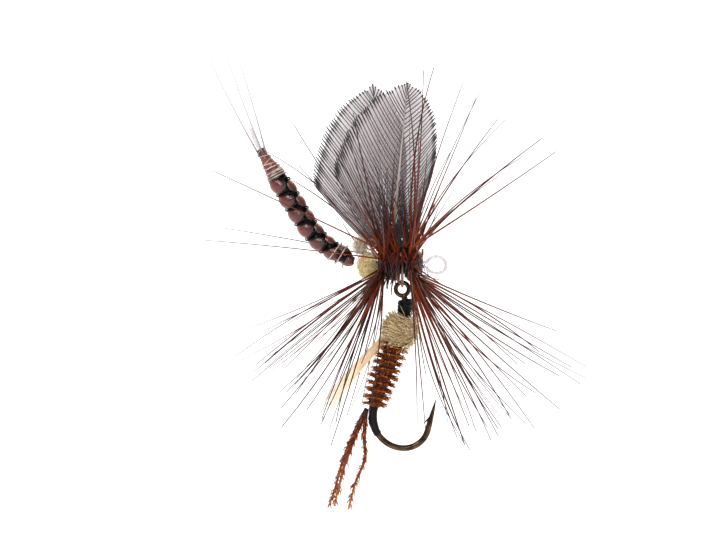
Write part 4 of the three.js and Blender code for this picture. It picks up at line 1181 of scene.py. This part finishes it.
# %% Wing pad: a slip of pale feather, made of fibres side by side that part towards the end
pad_root = hook.at(THORAX[1] + 0.1) + [-(HOOK_RADIUS + 0.9) - 0.35, -0.3, 0]
PAD_WAY = [(0.5, 0, 0.6), (-1.9, -0.1, -1.9), (-3.2, -0.3, -3.4), (-4.7, -0.5, -5.2), (-6.6, -0.7, -8.0)]
PAD_STEPS = 16
pad_line = smooth_curve(pad_root + np.array(PAD_WAY), PAD_STEPS)
PAD_FIBRES = 26
offset = np.linspace(-1, 1, PAD_FIBRES)
t = np.linspace(0, 1, PAD_STEPS)
way = unit(np.gradient(pad_line, axis=0))
pad_across = np.cross(way, [0, 1, 0])
wide = (0.38 + 0.36 * t)[None, :, None] * offset[:, None, None]
ripple = 0.05 * np.sin(5 * offset)[:, None, None] * np.array([0, 1, 0])
stray = spread(PAD_FIBRES, 0.8, 1.0)[:, None]
sample = np.clip(stray * t[None, :], 0, 1) * (PAD_STEPS - 1)
rows = np.stack([np.interp(sample, np.arange(PAD_STEPS), pad_line[:, k]) for k in range(3)], -1)
spine = rows + wide * pad_across[None] + ripple
pad = strands(spine, np.broadcast_to(0.045 - 0.02 * t, (PAD_FIBRES, PAD_STEPS)), 4)
piece("wing_pad", pad, cream_fibre, "nymph", ["wing_pad"], tints(pad, PAD_FIBRES))

# %% Tail fibres of the nymph: herl tips with short barbules all along
# Each tail: where it starts across the hook, then its points from there.
NYMPH_TAILS = {
    "nymph_tail_right": (-0.3, [
        (-0.1, -0.1, -1), (-0.25, -0.2, -2.9), (-0.2, -0.3, -5.6), (-1.2, -0.3, -8.1), (-2, -0.3, -11.2)]),
    "nymph_tail_middle": (0.1, [
        (-0.45, 0.1, -1.2), (-1.3, 0.3, -3.3), (-2.3, 0.4, -5.9), (-3.1, 0.5, -8.8), (-3.6, 0.6, -10.9)]),
    "nymph_tail_left": (0.48, [
        (-0.7, 0.2, -1.3), (-1.75, 0.4, -3.6), (-2.75, 0.7, -6.2), (-3.6, 1.1, -9.2), (-4.3, 1.3, -11.1)]),
}
tail_root = hook.at(HERL[1] + 0.3) - [HOOK_RADIUS + 0.19 + 0.17 + 0.06, 0, 0]
TAIL_BARBULES = 220
for name, (side, way) in NYMPH_TAILS.items():
    start = tail_root + [0, side, 0]
    tail = Line(smooth_curve(np.concatenate([[start], start + np.array(way)]), 40))
    s = np.sort(spread(TAIL_BARBULES, 0.05, 0.97)) * tail.length
    root = tail.at(s)
    ahead = unit(tail.at(s + 0.1) - tail.at(s - 0.1))
    outward = unit(np.cross(ahead, chance.normal(size=(TAIL_BARBULES, 3))))
    reach = spread(TAIL_BARBULES, 0.2, 0.55)[:, None]
    fringe_tip = root + (outward + 1.2 * ahead) * reach
    fringe = fibres(root, root + outward * reach * 0.6, fringe_tip, 0.05, 0.03, steps=3)
    stem = swept(tail, lambda t: 0.23 - 0.13 * t, 8)
    shape, tint = furred(stem, 0.5, fringe, TAIL_BARBULES)
    piece(name, shape, pheasant, "nymph", [name], tint)

# %% [markdown]
# ## Studio
# A fly shows its outline best when it hangs in front of a bright white sweep. The sweep is one sheet: a
# floor well below the fly that curves up behind it. Large area lights and a white world keep shadows soft,
# and a small one gives the varnish and the steel their highlights.

# %% Sweep, in metres: a floor, a quarter circle and a wall
FLOOR = -0.085
BEND_START = 0.5
BEND = 0.25
SWEEP_FRONT = (-1.2, FLOOR)
SWEEP_TOP = (BEND_START + BEND, 1.1)
SWEEP_HALF = 1.4
arc = np.linspace(0, math.pi / 2, 16)
curve = [(BEND_START + BEND * math.sin(a), FLOOR + BEND - BEND * math.cos(a)) for a in arc]
profile = [SWEEP_FRONT] + curve + [SWEEP_TOP]
vertices = [(x, y, z) for y, z in profile for x in (-SWEEP_HALF, SWEEP_HALF)]
faces = [(2 * k, 2 * k + 1, 2 * k + 3, 2 * k + 2) for k in range(len(profile) - 1)]
sweep_mesh = bpy.data.meshes.new("studio_sweep")
sweep_mesh.from_pydata(vertices, [], faces)
white = finish(
    "matt white studio paper", mottle(40.0, "#f6f6f5", "#fbfbfa"),
    {"Roughness": 0.9, "Emission Color": (1, 1, 1, 1), "Emission Strength": 0.55})
sweep_mesh.materials.append(white)
sweep = put("studio_sweep", sweep_mesh)

# %% World, lights and view
WORLD_STRENGTH = 0.72
FLY_MIDDLE_X = -0.008
world = bpy.data.worlds.new("white studio")
world.use_nodes = True
world.node_tree.nodes["Background"].inputs["Color"].default_value = (1, 1, 1, 1)
world.node_tree.nodes["Background"].inputs["Strength"].default_value = WORLD_STRENGTH
bpy.context.scene.world = world
bpy.context.scene.view_settings.view_transform = "Standard"

# Name, place in metres, size in metres, power in watts.
LIGHTS = [
    ("key", (-0.16, -0.3, 0.26), 0.1, 0.9),
    ("fill", (0.3, -0.28, 0.08), 0.3, 0.4),
    ("spark", (-0.05, -0.4, 0.22), 0.02, 0.7),
    ("back", (0.1, 0.28, 0.3), 0.2, 0.6),
]
for name, place, size, power in LIGHTS:
    lamp = bpy.data.lights.new(name, "AREA")
    lamp.size, lamp.energy = size, power
    made = put(name, lamp)
    made.location = place
    aim = -np.array(place) + [FLY_MIDDLE_X, 0, 0]
    pitch = math.acos(-aim[2] / np.linalg.norm(aim))
    made.rotation_euler = (pitch, 0, math.atan2(aim[1], aim[0]) - math.pi / 2)

lens = bpy.data.cameras.new("camera")
lens.lens, lens.sensor_width = 200, 36
lens.clip_start = 0.01
camera = put("camera", lens)
camera.location = (-0.00806, -0.449, -0.00083)
camera.rotation_euler = (math.pi / 2, 0, 0)
bpy.context.scene.camera = camera
